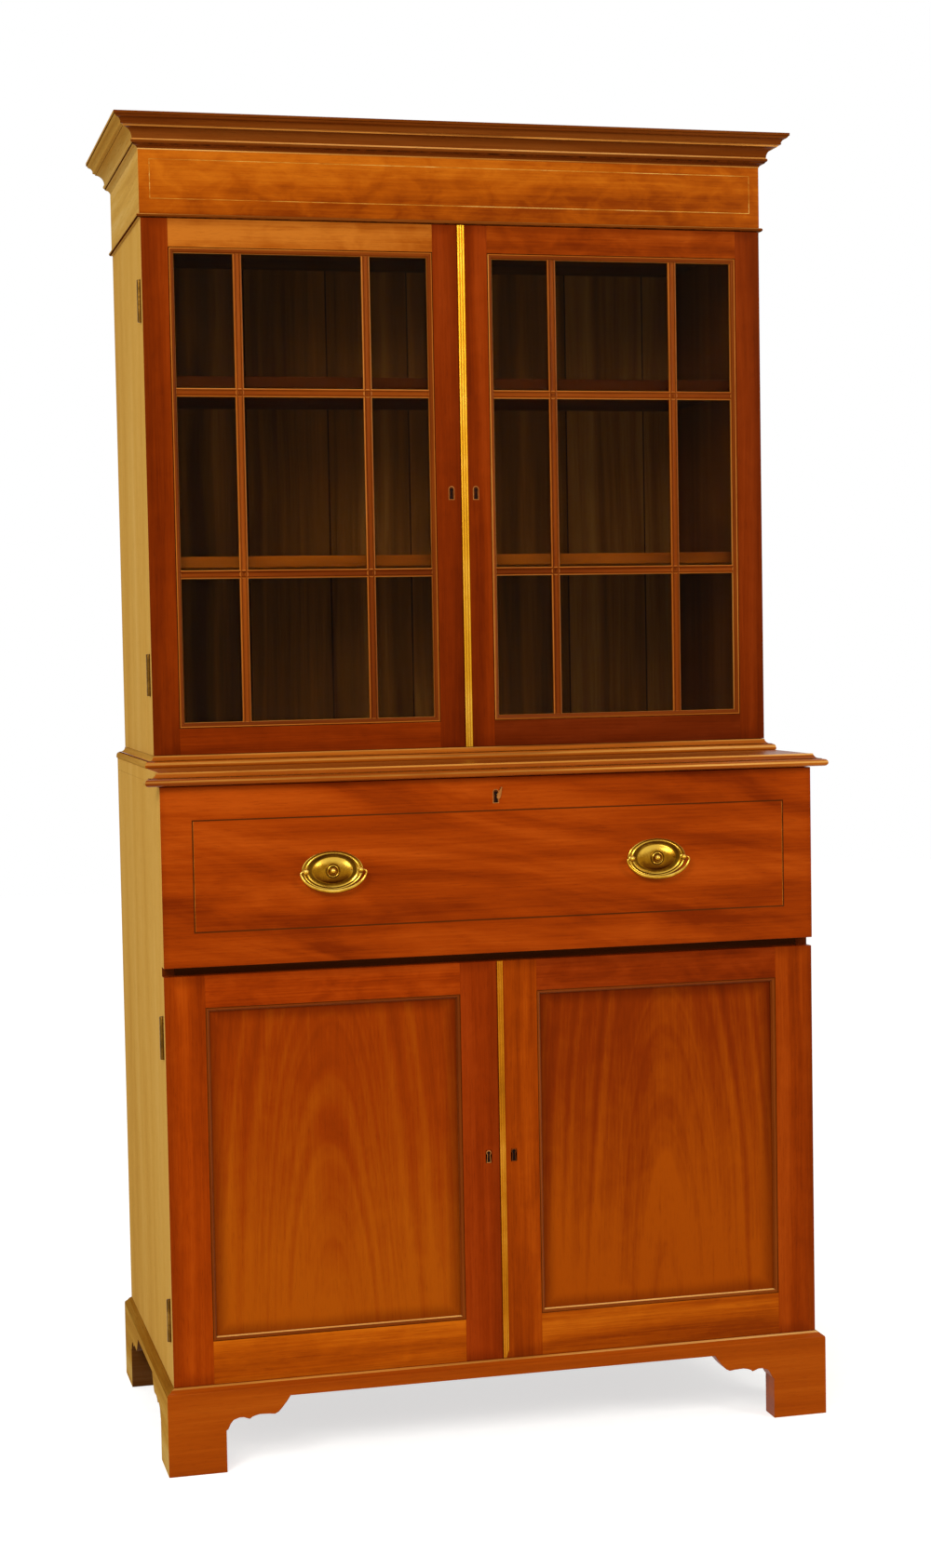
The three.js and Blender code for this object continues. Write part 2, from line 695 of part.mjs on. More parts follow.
function upperSight(side) {
  return sightRect(
    side, UPPER_HALF, UPPER_MEETING_STILE + LEAF_GAP - UPPER_JOINT_X, UPPER_HINGE_STILE,
    upperLeaf(side), UPPER_BOTTOM_RAIL, UPPER_TOP_RAIL,
  );
}

function grooves(side, half, faceY, heights) {
  return heights.map(([z0, z1]) => rodAlongZ(
    HINGE_R + FIT, side * (half + HINGE_OUT), faceY + DOOR_T, z0 - FIT, z1 + FIT,
  ));
}

function lowerDoorFrame(side) {
  const profile = frameProfile(0, LOWER_STICK_OUT, LOWER_STICK_DEPTH, LOWER_REBATE_Y);
  return cut(
    mitredFrame(lowerLeaf(side), lowerSight(side), profile),
    ...grooves(side, CASE_HALF, 0, LOWER_HINGES),
    keyhole(side * LOWER_KEYHOLE_IN, LOWER_DOOR_Z + LOWER_KEYHOLE_UP, 0),
  );
}

function upperDoorFrame(side) {
  const profile = frameProfile(UPPER_SETBACK, UPPER_STICK_OUT, UPPER_STICK_DEPTH, UPPER_REBATE_Y);
  return cut(
    mitredFrame(upperLeaf(side), upperSight(side), profile),
    ...grooves(side, UPPER_HALF, UPPER_SETBACK, UPPER_HINGES),
    keyhole(side * UPPER_KEYHOLE_IN, UPPER_DOOR_Z + UPPER_KEYHOLE_UP, UPPER_SETBACK),
  );
}

function infill(sight, y, thickness) {
  const lap = REBATE_WIDTH - FIT;
  return block(sight.x0 - lap, sight.x1 + lap, y, y + thickness, sight.z0 - lap, sight.z1 + lap);
}

function doorPanel(side) {
  return infill(lowerSight(side), LOWER_REBATE_Y + FIT, PANEL_T);
}

function doorGlass(side) {
  return infill(upperSight(side), UPPER_SETBACK + UPPER_REBATE_Y + FIT, GLASS_T);
}

function glazingBars(side) {
  const sight = upperSight(side);
  const depth = UPPER_REBATE_Y - BAR_SET;
  const section = scaled(BAR_SHARES, BAR_WIDTH / 2, depth).map(([u, v]) => [u, UPPER_SETBACK + BAR_SET + v]);
  const uprights = [sight.x0 + SIDE_LIGHT, sight.x1 - SIDE_LIGHT].map((x) => prismAlongZ(
    section.map(([u, v]) => [x + u, v]), sight.z0 + FIT, sight.z1 - FIT,
  ));
  const crossbars = [sight.z0 + LOW_LIGHT, sight.z1 - HIGH_LIGHT].map((z) => prismAlongX(
    section.map(([u, v]) => [v, z + u]).reverse(), sight.x0 + FIT, sight.x1 - FIT,
  ));
  return join(...uprights, ...crossbars);
}

// Reeded strip that covers the joint of the doors, carried on the right leaf's face
function reededStrip(jointX, width, faceY, leaf) {
  const start = jointX + LEAF_GAP / 2;
  const reeds = [0, 1, 2].flatMap((n) => REED_SHARES.map(([u, v]) => [
    start + (n / 3 + u) * width, faceY - v * STRIP_T,
  ]));
  return prismAlongZ([[start, faceY], ...reeds, [start + width, faceY]].reverse(), leaf.z0, leaf.z1);
}

function lowerStrip() {
  return reededStrip(LOWER_JOINT_X, LOWER_STRIP_WIDTH, 0, lowerLeaf(1));
}

function upperStrip() {
  return reededStrip(UPPER_JOINT_X, UPPER_STRIP_WIDTH, UPPER_SETBACK, upperLeaf(1));
}

// Secretaire drawer
function drawerSide() {
  const z = DUSTBOARD_TOP + RUNNER_HEIGHT + FIT;
  return block(DRAWER_INNER, DRAWER_HALF, DRAWER_Y, DRAWER_REAR, z, z + DRAWER_SIDE_HEIGHT);
}

function staySlot(side) {
  const x = side * (DRAWER_INNER - FIT - STAY_T / 2);
  const y = FALL_AXIS_Y + STAY_R;
  const reach = STAY_WIDTH / 2 + STAY_SLOT_CLEAR;
  return block(
    x - STAY_T / 2 - FIT - OVERRUN, x + STAY_T / 2 + FIT + OVERRUN, y - reach, y + reach,
    WRITING_Z - DRAWER_BOTTOM_T - OVERRUN, WRITING_Z + OVERRUN,
  );
}

function drawerBottom() {
  return cut(
    between(DRAWER_INNER, DRAWER_Y, DRAWER_REAR, WRITING_Z - DRAWER_BOTTOM_T, WRITING_Z),
    staySlot(-1), staySlot(1),
  );
}

function drawerBack() {
  const z = DUSTBOARD_TOP + RUNNER_HEIGHT + FIT;
  return between(
    DRAWER_INNER, DRAWER_REAR - DRAWER_SIDE_T, DRAWER_REAR, WRITING_Z, z + DRAWER_SIDE_HEIGHT,
  );
}

function fallHingeNotch(side) {
  const reach = FALL_HINGE_LENGTH / 2 + FIT;
  return block(
    side * FALL_HINGE_X - reach, side * FALL_HINGE_X + reach, FALL_AXIS_Y - FALL_HINGE_R - FIT,
    FALL_BACK + OVERRUN, FALL_Z - OVERRUN, FALL_AXIS_Z + FALL_HINGE_R + FIT,
  );
}

function fallFront() {
  return cut(
    block(-CASE_HALF, CASE_HALF, -FALL_PROUD, FALL_BACK, FALL_Z, FALL_TOP),
    fallHingeNotch(-1), fallHingeNotch(1),
    keyhole(0, FALL_Z + FALL_KEYHOLE_UP, -FALL_PROUD),
  );
}

function fallHinge(side) {
  const x0 = side * FALL_HINGE_X - FALL_HINGE_LENGTH / 2;
  const strapTop = WRITING_Z - DRAWER_BOTTOM_T - FIT;
  return join(
    rodAlongX(FALL_HINGE_R, FALL_AXIS_Y, FALL_AXIS_Z, x0, x0 + FALL_HINGE_LENGTH),
    block(
      x0, x0 + FALL_HINGE_LENGTH, FALL_AXIS_Y, FALL_AXIS_Y + FALL_STRAP_LENGTH,
      strapTop - FALL_STRAP_T, strapTop,
    ),
  );
}

// Quadrant stay: an arc about the fall's axis with a flange on the fall's back face
function quadrantStay() {
  const inner = STAY_R - STAY_WIDTH / 2;
  const outer = STAY_R + STAY_WIDTH / 2;
  const flangeY = FALL_BACK + FIT;
  const start = Math.acos((flangeY + STAY_FLANGE_T / 2 - FALL_AXIS_Y) / STAY_R);
  const at = (radius, angle) => [
    FALL_AXIS_Y + radius * Math.cos(angle), FALL_AXIS_Z + radius * Math.sin(angle),
  ];
  const angles = Array.from({ length: STAY_STEPS + 1 }, (_, i) => (
    -STAY_DROP + (start + STAY_DROP) * i / STAY_STEPS
  ));
  const arc = [...angles.map((a) => at(outer, a)), ...angles.map((a) => at(inner, a)).reverse()];
  const x1 = DRAWER_INNER - FIT;
  const middle = at(STAY_R, start)[1];
  return join(
    prismAlongX(arc, x1 - STAY_T, x1),
    block(
      x1 - STAY_WIDTH, x1, flangeY, flangeY + STAY_FLANGE_T,
      middle - STAY_FLANGE_HEIGHT / 2, middle + STAY_FLANGE_HEIGHT / 2,
    ),
  );
}

// Pigeonholes: one row of small holes over a row of wider ones
function fitmentHoles(count, z0, z1) {
  const half = DRAWER_INNER - FIT - FITMENT_T;
  const pitch = (2 * half + FITMENT_T) / count;
  const rear = DRAWER_REAR - DRAWER_SIDE_T - FIT - FITMENT_T;
  return Array.from({ length: count }, (_, i) => block(
    -half + i * pitch, -half + (i + 1) * pitch - FITMENT_T, FITMENT_IN - OVERRUN, rear, z0, z1,
  ));
}

function pigeonholes() {
  const top = DUSTBOARD_TOP + RUNNER_HEIGHT + FIT + DRAWER_SIDE_HEIGHT;
  const shelf = WRITING_Z + FITMENT_T + FITMENT_ROW;
  return cut(
    between(DRAWER_INNER, FITMENT_IN, DRAWER_REAR - DRAWER_SIDE_T - FIT, WRITING_Z, top),
    ...fitmentHoles(FITMENT_LOWER_HOLES, WRITING_Z + FITMENT_T, shelf),
    ...fitmentHoles(FITMENT_UPPER_HOLES, shelf + FITMENT_T, top - FITMENT_T),
  );
}

// Handle: an oval dished plate with a central knob and two ball-ended posts
function handlePlate() {
  const dish = turned(PLATE_SHARES, 1, PLATE_RISE).scale(PLATE_HALF_WIDTH, 1, PLATE_HALF_HEIGHT);
  const boss = turned(BOSS_SHARES, BOSS_R, BOSS_RISE);
  const neck = rodAlongY(KNOB_R / 2, 0, 0, -KNOB_OUT, -BOSS_RISE / 2);
  const knob = new THREE.SphereGeometry(KNOB_R, 12, 8).translate(0, -KNOB_OUT, 0);
  const posts = [-POST_X, POST_X].flatMap((x) => [
    rodAlongY(POST_R, x, 0, -POST_OUT, -PLATE_RISE / 4),
    new THREE.SphereGeometry(POST_BALL_R, 12, 8).translate(x, -POST_OUT, 0),
  ]);
  const pinHoles = [-1, 1].map((side) => {
    const ends = [side * POST_X, side * (POST_X + POST_BALL_R + OVERRUN)];
    return rodAlongX(BAIL_PIN_R + FIT, -POST_OUT, 0, Math.min(...ends), Math.max(...ends));
  });
  return cut(join(dish, boss, neck, knob, ...posts), ...pinHoles);
}

function handleBail() {
  const points = Array.from({ length: BAIL_STEPS + 1 }, (_, i) => {
    const angle = -Math.PI * i / BAIL_STEPS;
    return new THREE.Vector3(BAIL_HALF_WIDTH * Math.cos(angle), 0, BAIL_DROP * Math.sin(angle));
  });
  const section = new THREE.Shape(Array.from({ length: BAIL_SIDES }, (_, i) => {
    const angle = 2 * Math.PI * i / BAIL_SIDES;
    return new THREE.Vector2(BAIL_R * Math.cos(angle), BAIL_R * Math.sin(angle));
  }));
  const bow = new THREE.ExtrudeGeometry(section, {
    steps: BAIL_STEPS, bevelEnabled: false, extrudePath: new THREE.CatmullRomCurve3(points),
  });
  const pins = [-1, 1].map((side) => {
    const ends = [side * (POST_X + FIT), side * (BAIL_HALF_WIDTH + BAIL_R / 2)];
    return rodAlongX(BAIL_PIN_R, 0, 0, Math.min(...ends), Math.max(...ends));
  });
  return join(bow, ...pins);
}

// Cover that swings aside from the fall's keyhole, hung from a pin above it
function keyCover() {
  const flap = prismAlongY(scaled(COVER_SHARES, COVER_WIDTH, COVER_LENGTH), -COVER_T, 0);
  return join(flap, rodAlongY(COVER_PIN_R, 0, 0, -COVER_T * 2, 0));
}

const cabinet = new THREE.Group();
cabinet.position.y = FACE_Y;

function place(name, geometry, material, parent = cabinet) {
  const mesh = new THREE.Mesh(geometry, material);
  mesh.name = name;
  parent.add(mesh);
  return mesh;
}

function placePair(name, geometry, material) {
  place(`${name}_right`, geometry, material);
  place(`${name}_left`, mirrored(geometry), material);
}

function placeHandle(name, x) {
  const holder = new THREE.Group();
  holder.position.set(x, -FALL_PROUD, FALL_Z + HANDLE_UP);
  cabinet.add(holder);
  place(`handle_plate_${name}`, handlePlate(), brass(), holder);
  place(`bail_${name}`, handleBail(), brass(), holder).position.y = -POST_OUT;
}

function placeDoors(name, side) {
  place(`lower_door_frame_${name}`, lowerDoorFrame(side), frontMahogany());
  place(`lower_door_panel_${name}`, doorPanel(side), flameMahogany());
  place(`upper_door_frame_${name}`, upperDoorFrame(side), frontMahogany());
  place(`glazing_bars_${name}`, glazingBars(side), frontMahogany());
  place(`door_glass_${name}`, doorGlass(side), windowGlass());
}

place('plinth_front', plinthFront(), darkMoulding());
placePair('plinth_side', plinthSide(), darkMoulding());
placePair('lower_side', lowerSide(), agedSide());
place('lower_bottom', lowerBottom(), insideWood());
place('dustboard', dustboard(), insideWood());
placePair('drawer_runner', drawerRunner(), insideWood());
place('cupboard_shelf', cupboardShelf(), insideWood());
place('lower_back', lowerBack(), insideWood());
place('lower_top', lowerTop(), agedSide());
place('top_nosing', topNosing(), darkMoulding());
place('upper_base', upperBase(), insideWood());
place('waist_moulding', waistMoulding(), darkMoulding());
placePair('upper_side', upperSide(), agedSide());
place('upper_top', upperTop(), insideWood());
place('upper_back', upperBack(), insideWood());
place('bookshelf_lower', bookshelf(LOWER_BOOKSHELF_UP), insideWood());
place('bookshelf_upper', bookshelf(UPPER_BOOKSHELF_UP), insideWood());
place('bead_moulding', beadMoulding(), darkMoulding());
place('frieze', friezeBoards(), friezeVeneer());
place('cornice', corniceMoulding(), darkMoulding());
place('cornice_top', corniceTop(), insideWood());
placeDoors('left', -1);
placeDoors('right', 1);
place('lower_door_strip', lowerStrip(), brass());
place('upper_door_strip', upperStrip(), brass());
placePair('lower_hinge_bottom', doorHinge(CASE_HALF, 0, LOWER_HINGES[0]), brass());
placePair('lower_hinge_top', doorHinge(CASE_HALF, 0, LOWER_HINGES[1]), brass());
placePair('upper_hinge_bottom', doorHinge(UPPER_HALF, UPPER_SETBACK, UPPER_HINGES[0]), brass());
placePair('upper_hinge_top', doorHinge(UPPER_HALF, UPPER_SETBACK, UPPER_HINGES[1]), brass());
placePair('drawer_side', drawerSide(), insideWood());
place('drawer_bottom', drawerBottom(), insideWood());
place('drawer_back', drawerBack(), insideWood());
place('pigeonholes', pigeonholes(), insideWood());
place('fall_front', fallFront(), flameMahogany());
place('fall_hinge_right', fallHinge(1), brass());
place('fall_hinge_left', fallHinge(-1), brass());
placePair('quadrant_stay', quadrantStay(), brass());
placeHandle('right', HANDLE_X);
placeHandle('left', -HANDLE_X);

const cover = place('key_cover', keyCover(), brass());
cover.position.set(
  COVER_PIN_X, -FALL_PROUD - FIT, FALL_Z + FALL_KEYHOLE_UP + KEYHOLE_HEIGHT + COVER_PIN_UP,
);
cover.rotation.y = COVER_LEAN;

const group = new THREE.Group();
group.add(cabinet);

export default group;
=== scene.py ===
import math

import bmesh
import bpy
from mathutils import Matrix, Vector


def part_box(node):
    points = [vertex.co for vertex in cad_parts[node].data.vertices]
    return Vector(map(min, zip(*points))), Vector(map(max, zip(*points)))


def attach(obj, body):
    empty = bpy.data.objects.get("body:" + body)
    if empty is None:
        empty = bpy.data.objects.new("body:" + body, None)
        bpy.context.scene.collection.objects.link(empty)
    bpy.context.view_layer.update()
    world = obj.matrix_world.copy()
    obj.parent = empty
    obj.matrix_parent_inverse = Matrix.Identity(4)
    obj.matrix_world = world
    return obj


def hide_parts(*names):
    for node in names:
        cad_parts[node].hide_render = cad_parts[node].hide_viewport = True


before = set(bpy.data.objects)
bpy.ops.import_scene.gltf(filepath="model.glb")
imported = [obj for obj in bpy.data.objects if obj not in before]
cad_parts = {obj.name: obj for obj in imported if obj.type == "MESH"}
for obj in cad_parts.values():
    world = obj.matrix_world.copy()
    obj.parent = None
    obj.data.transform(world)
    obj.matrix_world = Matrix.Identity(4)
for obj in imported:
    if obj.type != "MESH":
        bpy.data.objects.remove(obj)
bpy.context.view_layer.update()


# Plinth: three mahogany boards on edge, the sides butted against the back of the front
# one, sawn away below into bracket feet and with an ovolo worked along the top. The wood
# is French polished, so its grain lies under a thin coat of shellac.

# Lengths are millimetres, with depth counted back from the lower doors' face; at() turns
# them into places in the frame. Only Blender's own calls and the room are in metres.
doors_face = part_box("lower_door_frame_left")[0].y * 1000


def at(x, y, z):
    return Vector((x, y + doors_face, z)) / 1000


def extent(node):
    """Lowest and highest x, y and z of a part, in millimetres from the doors' face."""
    low, high = (corner * 1000 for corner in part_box(node))
    return low.x, high.x, low.y - doors_face, high.y - doors_face, low.z, high.z


def stain(red, green, blue):
    """A colour as it is seen, 0 to 255 a channel, in light values."""
    def light(c):
        c /= 255
        return c / 12.92 if c <= 0.04045 else ((c + 0.055) / 1.055) ** 2.4
    return light(red), light(green), light(blue), 1.0


def tones(red, green, blue):
    """Dark, middle and light of one board, about its mean colour."""
    return [
        (red * 0.78, green * 0.66, blue * 0.5), (red, green, blue),
        (min(red * 1.16, 252), min(green * 1.32, 250), blue * 1.8 + 4),
    ]


def add(tree, kind, sockets=(), **settings):
    """A shading node with its sockets set, or joined to another node's output."""
    node = tree.nodes.new("ShaderNode" + kind)
    for name, value in settings.items():
        setattr(node, name, value)
    for key, value in dict(sockets).items():
        if isinstance(value, bpy.types.NodeSocket):
            tree.links.new(value, node.inputs[key])
        else:
            node.inputs[key].default_value = value
    return node


def reckon(tree, operation, *values):
    """One step of arithmetic on shading values."""
    return add(tree, "Math", dict(enumerate(values)), operation=operation).outputs[0]


def between(tree, share, a, b):
    """From a at share 0 to b at share 1."""
    return add(tree, "Mix", {0: share, 2: a, 3: b}, clamp_factor=True).outputs[0]


def tinted(tree, kind, share, a, b):
    """Colour a with a share of colour b laid over it."""
    return add(
        tree, "Mix", {0: share, 6: a, 7: b}, data_type="RGBA", blend_type=kind,
    ).outputs[2]


def ramp(tree, value, stops):
    """A colour for each value, from stops of a value and its colour as it is seen."""
    stops = [(place, stain(*colour)) for place, colour in stops]
    node = add(tree, "ValToRGB", {"Fac": value})
    scale = node.color_ramp
    scale.elements[0].position, scale.elements[0].color = stops[0]
    scale.elements[1].position, scale.elements[1].color = stops[-1]
    for place, colour in stops[1:-1]:
        scale.elements.new(place).color = colour
    return node.outputs["Color"]


def risen(tree, value, low, high):
    """0 below low, 1 above high and smooth between."""
    node = add(tree, "MapRange", {0: value, 1: low, 2: high}, interpolation_type="SMOOTHSTEP")
    return node.outputs[0]


def marked(tree, value, noise, strength):
    """The value made lighter and darker by a noise that swings about a half."""
    return reckon(tree, "MULTIPLY_ADD", reckon(tree, "SUBTRACT", noise, 0.5), strength, value)


def uneven(tree, shader, height, strength, depth):
    """A fine unevenness of the surface; only the depth is in metres."""
    bump = add(tree, "Bump", {"Height": height, "Strength": strength, "Distance": depth})
    tree.links.new(bump.outputs[0], shader.inputs["Normal"])


def blank(name):
    """A new material, with its shading tree and its shader."""
    finish = bpy.data.materials.new(name)
    finish.use_nodes = True
    return finish, finish.node_tree, finish.node_tree.nodes["Principled BSDF"]


def wood(
    name, dark, middle, light, grain="ZX", turns=None, slant=0.0, seed=0.0,
    band=5.0, bands=0.8, lines=34.0, line=0.4, arch=None, flame=0.0, flame_size=5.0,
    mottle=0.0, streak=0.5, pores=0.36, fade=None, shade=None, rough=0.36, gloss=0.1,
    boards=None,
):
    """Polished wood in three tones. grain names the axis it runs along and the one across.
    bands, line, streak, flame, mottle and pores say how strongly broad bands, growth lines,
    fine streaks, flames, spots and pores show. band, lines and flame_size say how close
    together bands, growth lines and flames lie, and slant turns the flames. turns swaps
    the grain where a mitred run turns its corner. arch bends the growth lines round a
    middle into tall arches. fade lightens a board towards its foot, or darkens it below 0.
    shade darkens the edges of a board, partly painted shade and partly the wax and dust that
    gather there. boards is the width of each board in a jointed back."""
    finish, tree, shader = blank(name)
    place = add(tree, "TexCoord").outputs
    axes = add(tree, "SeparateXYZ", {0: place["Object"]}).outputs
    length, width = (axes[axis] for axis in grain)
    depth = axes[(set("XYZ") - set(grain)).pop()]
    if turns:
        looks = add(tree, "SeparateXYZ", {0: place["Normal"]}).outputs
        first, second = turns
        turned = reckon(
            tree, "GREATER_THAN", reckon(tree, "ABSOLUTE", looks[first]),
            reckon(tree, "ABSOLUTE", looks[second]),
        )
        length = between(tree, turned, axes[first], axes[second])
        depth = between(tree, turned, axes[second], axes[first])
        width = axes[(set("XYZ") - set(turns)).pop()]
    spot = add(tree, "CombineXYZ", {0: length, 1: width, 2: depth}).outputs[0]

    def cloud(long, wide, detail=2.0, distort=0.0, shift=0.0, angle=0.0):
        """A noise with so many marks a metre along the grain and across it."""
        laid = spot
        if angle:
            laid = add(tree, "Mapping", {"Vector": spot, "Rotation": (0, 0, angle)}).outputs[0]
        laid = add(tree, "Mapping", {
            "Vector": laid, "Scale": (long, wide, wide),
            "Location": (seed + shift, seed * 1.7, shift),
        }).outputs[0]
        return add(tree, "TexNoise", {
            "Vector": laid, "Scale": 1.0, "Detail": detail, "Roughness": 0.55,
            "Distortion": distort,
        }).outputs[0]

    warp = cloud(1.3, 5.0)
    broad = cloud(0.9, band * 3, 3.0, 0.4, 3.1)
    fine = cloud(9.0, 330.0, shift=5.0)
    pore = risen(tree, cloud(48.0, 1250.0, 1.0, shift=8.0), 0.6, 0.72)
    ring = width
    if arch:
        middle_width, start, slope = arch
        off = reckon(tree, "SUBTRACT", width, middle_width / 1000)
        up = reckon(tree, "SUBTRACT", length, start / 1000)
        up = reckon(tree, "MULTIPLY", up, slope)
        ring = reckon(tree, "SQRT", reckon(
            tree, "ADD", reckon(tree, "MULTIPLY", off, off), reckon(tree, "MULTIPLY", up, up),
        ))
    wave = reckon(tree, "MULTIPLY_ADD", ring, lines, reckon(tree, "MULTIPLY", warp, 2.4))
    growth = add(
        tree, "TexNoise",
        {"W": reckon(tree, "ADD", wave, seed * 3.7), "Scale": 1.0, "Detail": 3.0},
        noise_dimensions="1D",
    ).outputs[0]
    value = marked(tree, 0.5, broad, bands * 2.2)
    value = marked(tree, value, growth, line * 2.0)
    value = marked(tree, value, fine, streak)
    if flame:
        rib = cloud(flame_size, flame_size * 4.5, 4.0, 0.9, 11.0, slant)
        value = marked(tree, value, rib, flame * 2.0)
    if mottle:
        value = marked(tree, value, cloud(22.0, 30.0, 3.0, 0.6, 13.0), mottle * 2.0)
    if fade:
        low, high, lift = fade
        share = reckon(tree, "SUBTRACT", 1.0, risen(tree, axes["Z"], low / 1000, high / 1000))
        value = reckon(tree, "MULTIPLY_ADD", share, lift, value)
    if boards:
        count = reckon(tree, "DIVIDE", width, boards / 1000)
        number = reckon(tree, "FLOOR", count)
        tone = add(tree, "TexWhiteNoise", {"W": number}, noise_dimensions="1D").outputs[0]
        value = marked(tree, value, tone, 0.35)
        edge = reckon(tree, "PINGPONG", count, 0.5)
        seam = reckon(tree, "SUBTRACT", 1.0, risen(tree, edge, 0.004, 0.012))

    colour = ramp(tree, value, [(0.08, dark), (0.5, middle), (0.92, light)])
    pore_brown, seam_black = (0.42, 0.3, 0.22, 1), (0.01, 0.005, 0.002, 1)
    dust_and_shade_brown = 0.3, 0.16, 0.08, 1
    filled = reckon(tree, "MULTIPLY", pore, pores)
    colour = tinted(tree, "MULTIPLY", filled, colour, pore_brown)
    if boards:
        colour = tinted(tree, "MIX", seam, colour, seam_black)
    # Painted shade with dust and wax: the board darkens towards the edges of its rectangle.
    if shade:
        x0, x1, z0, z1, reach, strength = shade
        inward = reckon(tree, "SUBTRACT", axes["X"], x0 / 1000)
        for end, start in (
            (x1 / 1000, axes["X"]), (axes["Z"], z0 / 1000), (z1 / 1000, axes["Z"]),
        ):
            inward = reckon(tree, "MINIMUM", inward, reckon(tree, "SUBTRACT", end, start))
        ragged = marked(tree, inward, warp, 0.02)
        dirt_and_shade = reckon(tree, "SUBTRACT", 1.0, risen(tree, ragged, 0.0, reach / 1000))
        dirt_and_shade = reckon(tree, "MULTIPLY", dirt_and_shade, strength)
        colour = tinted(tree, "MULTIPLY", dirt_and_shade, colour, dust_and_shade_brown)
    tree.links.new(colour, shader.inputs["Base Color"])

    dull = reckon(tree, "MULTIPLY_ADD", broad, 0.16, rough - 0.08)
    dull = reckon(tree, "MULTIPLY_ADD", pore, 0.2, dull)
    tree.links.new(dull, shader.inputs["Roughness"])
    height = reckon(tree, "MULTIPLY_ADD", pore, -1.0, reckon(tree, "MULTIPLY", fine, 0.5))
    if boards:
        height = reckon(tree, "MULTIPLY_ADD", seam, -6.0, height)
    uneven(tree, shader, height, 0.35, 0.00012)
    shader.inputs["Specular IOR Level"].default_value = gloss
    shader.inputs["Specular Tint"].default_value = stain(255, 172, 92)
    return finish


def soften(bm, limit=34):
    """Curved faces shade smoothly; flat ones stay flat, and edges past the limit crisp."""
    for face in bm.faces:
        face.smooth = False
    for edge in bm.edges:
        bend = math.degrees(edge.calc_face_angle(math.pi))
        edge.smooth = bend < limit
        if 0.3 < bend < limit:
            for face in edge.link_faces:
                face.smooth = True


def ease(bm, width, limit=40):
    """The arrises are taken off, as with a stroke of glasspaper."""
    sharp = [
        e for e in bm.edges if e.is_manifold and math.degrees(e.calc_face_angle(0)) > limit
    ]
    made = bmesh.ops.bevel(
        bm, geom=sharp, offset=width / 1000, offset_type="OFFSET", segments=2, profile=0.5,
        affect="EDGES", clamp_overlap=False, material=-1,
    )
    for face in made["faces"]:
        face.smooth = True


def fit(bm, name, body, slot, *finishes, stands_for=()):
    """The finished piece, fixed to the body that it moves with."""
    mesh = bpy.data.meshes.new(name)
    bm.to_mesh(mesh)
    bm.free()
    for finish in finishes:
        mesh.materials.append(finish)
    made = bpy.data.objects.new(name, mesh)
    bpy.context.scene.collection.objects.link(made)
    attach(made, body)
    if stands_for:
        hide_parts(*stands_for)


def board_of(node):
    """A part's own shape as a clean mesh, to be eased and finished."""
    bm = bmesh.new()
    bm.from_mesh(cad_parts[node].data)
    bmesh.ops.remove_doubles(bm, verts=bm.verts, dist=0.00001)
    bmesh.ops.dissolve_limit(
        bm, angle_limit=0.004, verts=bm.verts, edges=bm.edges, use_dissolve_boundaries=False,
        delimit=set(),
    )
    return bm


def finished_board(node, body, slot, finish, width=0.8, *facings):
    """A part's own shape, eased and finished. A facing is another finish and the test
    that picks the faces which it covers."""
    bm = board_of(node)
    soften(bm)
    for number, (_, where) in enumerate(facings, 1):
        for face in bm.faces:
            if where(face):
                face.material_index = number
    ease(bm, width)
    finishes = finish, *(other for other, _ in facings)
    fit(bm, node + "_board", body, slot, *finishes, stands_for=[node])


def from_middle(face):
    """How far out a face lies, to the left or the right."""
    return abs(face.calc_center_median().x) * 1000


plinth_wood = wood(
    "plinth_mahogany", *tones(164, 70, 7), grain="XZ", seed=2.0, bands=0.5, line=0.15, streak=0.3,
)
aged_plinth = wood(
    "plinth_return", *tones(200, 148, 62), grain="YZ", seed=2.5, bands=0.5, line=0.15, streak=0.3,
    gloss=0.0, rough=0.5,
)
grimed_edge = wood(
    "grimed_edge", *tones(150, 98, 26), grain="YZ", seed=2.7, line=0.15, gloss=0.0, rough=0.5,
)
# Pale arrises: painted highlights where the rounded edges catch the light, with some wear.
arris_wear_and_highlight = wood(
    "arris_wear_and_highlight", (132, 68, 18), (204, 136, 56), (236, 178, 98), grain="XZ", seed=9.5,
    bands=1.3, line=0.1, rough=0.3, gloss=0.2,
)
inside_tones = tones(92, 52, 18)
raw_wood = wood("unpolished_inside", *inside_tones, grain="XY", gloss=0.05, rough=0.6, seed=4.0)
plinth_end = extent("plinth_front")[1] - 1
# The plinth's top ovolo, where it faces up, takes the painted highlight of the arrises.
finished_board(
    "plinth_front", "carcase", "front_mahogany", plinth_wood, 0.8,
    (arris_wear_and_highlight, lambda face: 0.9 < face.normal.z < 0.95),
    (aged_plinth, lambda face: from_middle(face) > plinth_end),
    (grimed_edge, lambda face: abs(face.normal.x) > 0.3 and face.normal.z > 0.05),
)
for hand, way in (("left", -1), ("right", 1)):
    finished_board(
        f"plinth_side_{hand}", "carcase", "front_mahogany", aged_plinth, 0.8,
        (grimed_edge, lambda face: 0.05 < face.normal.z < 0.98),
        (raw_wood, lambda face: face.normal.x * way < 0.5 and face.normal.z < 0.05),
    )


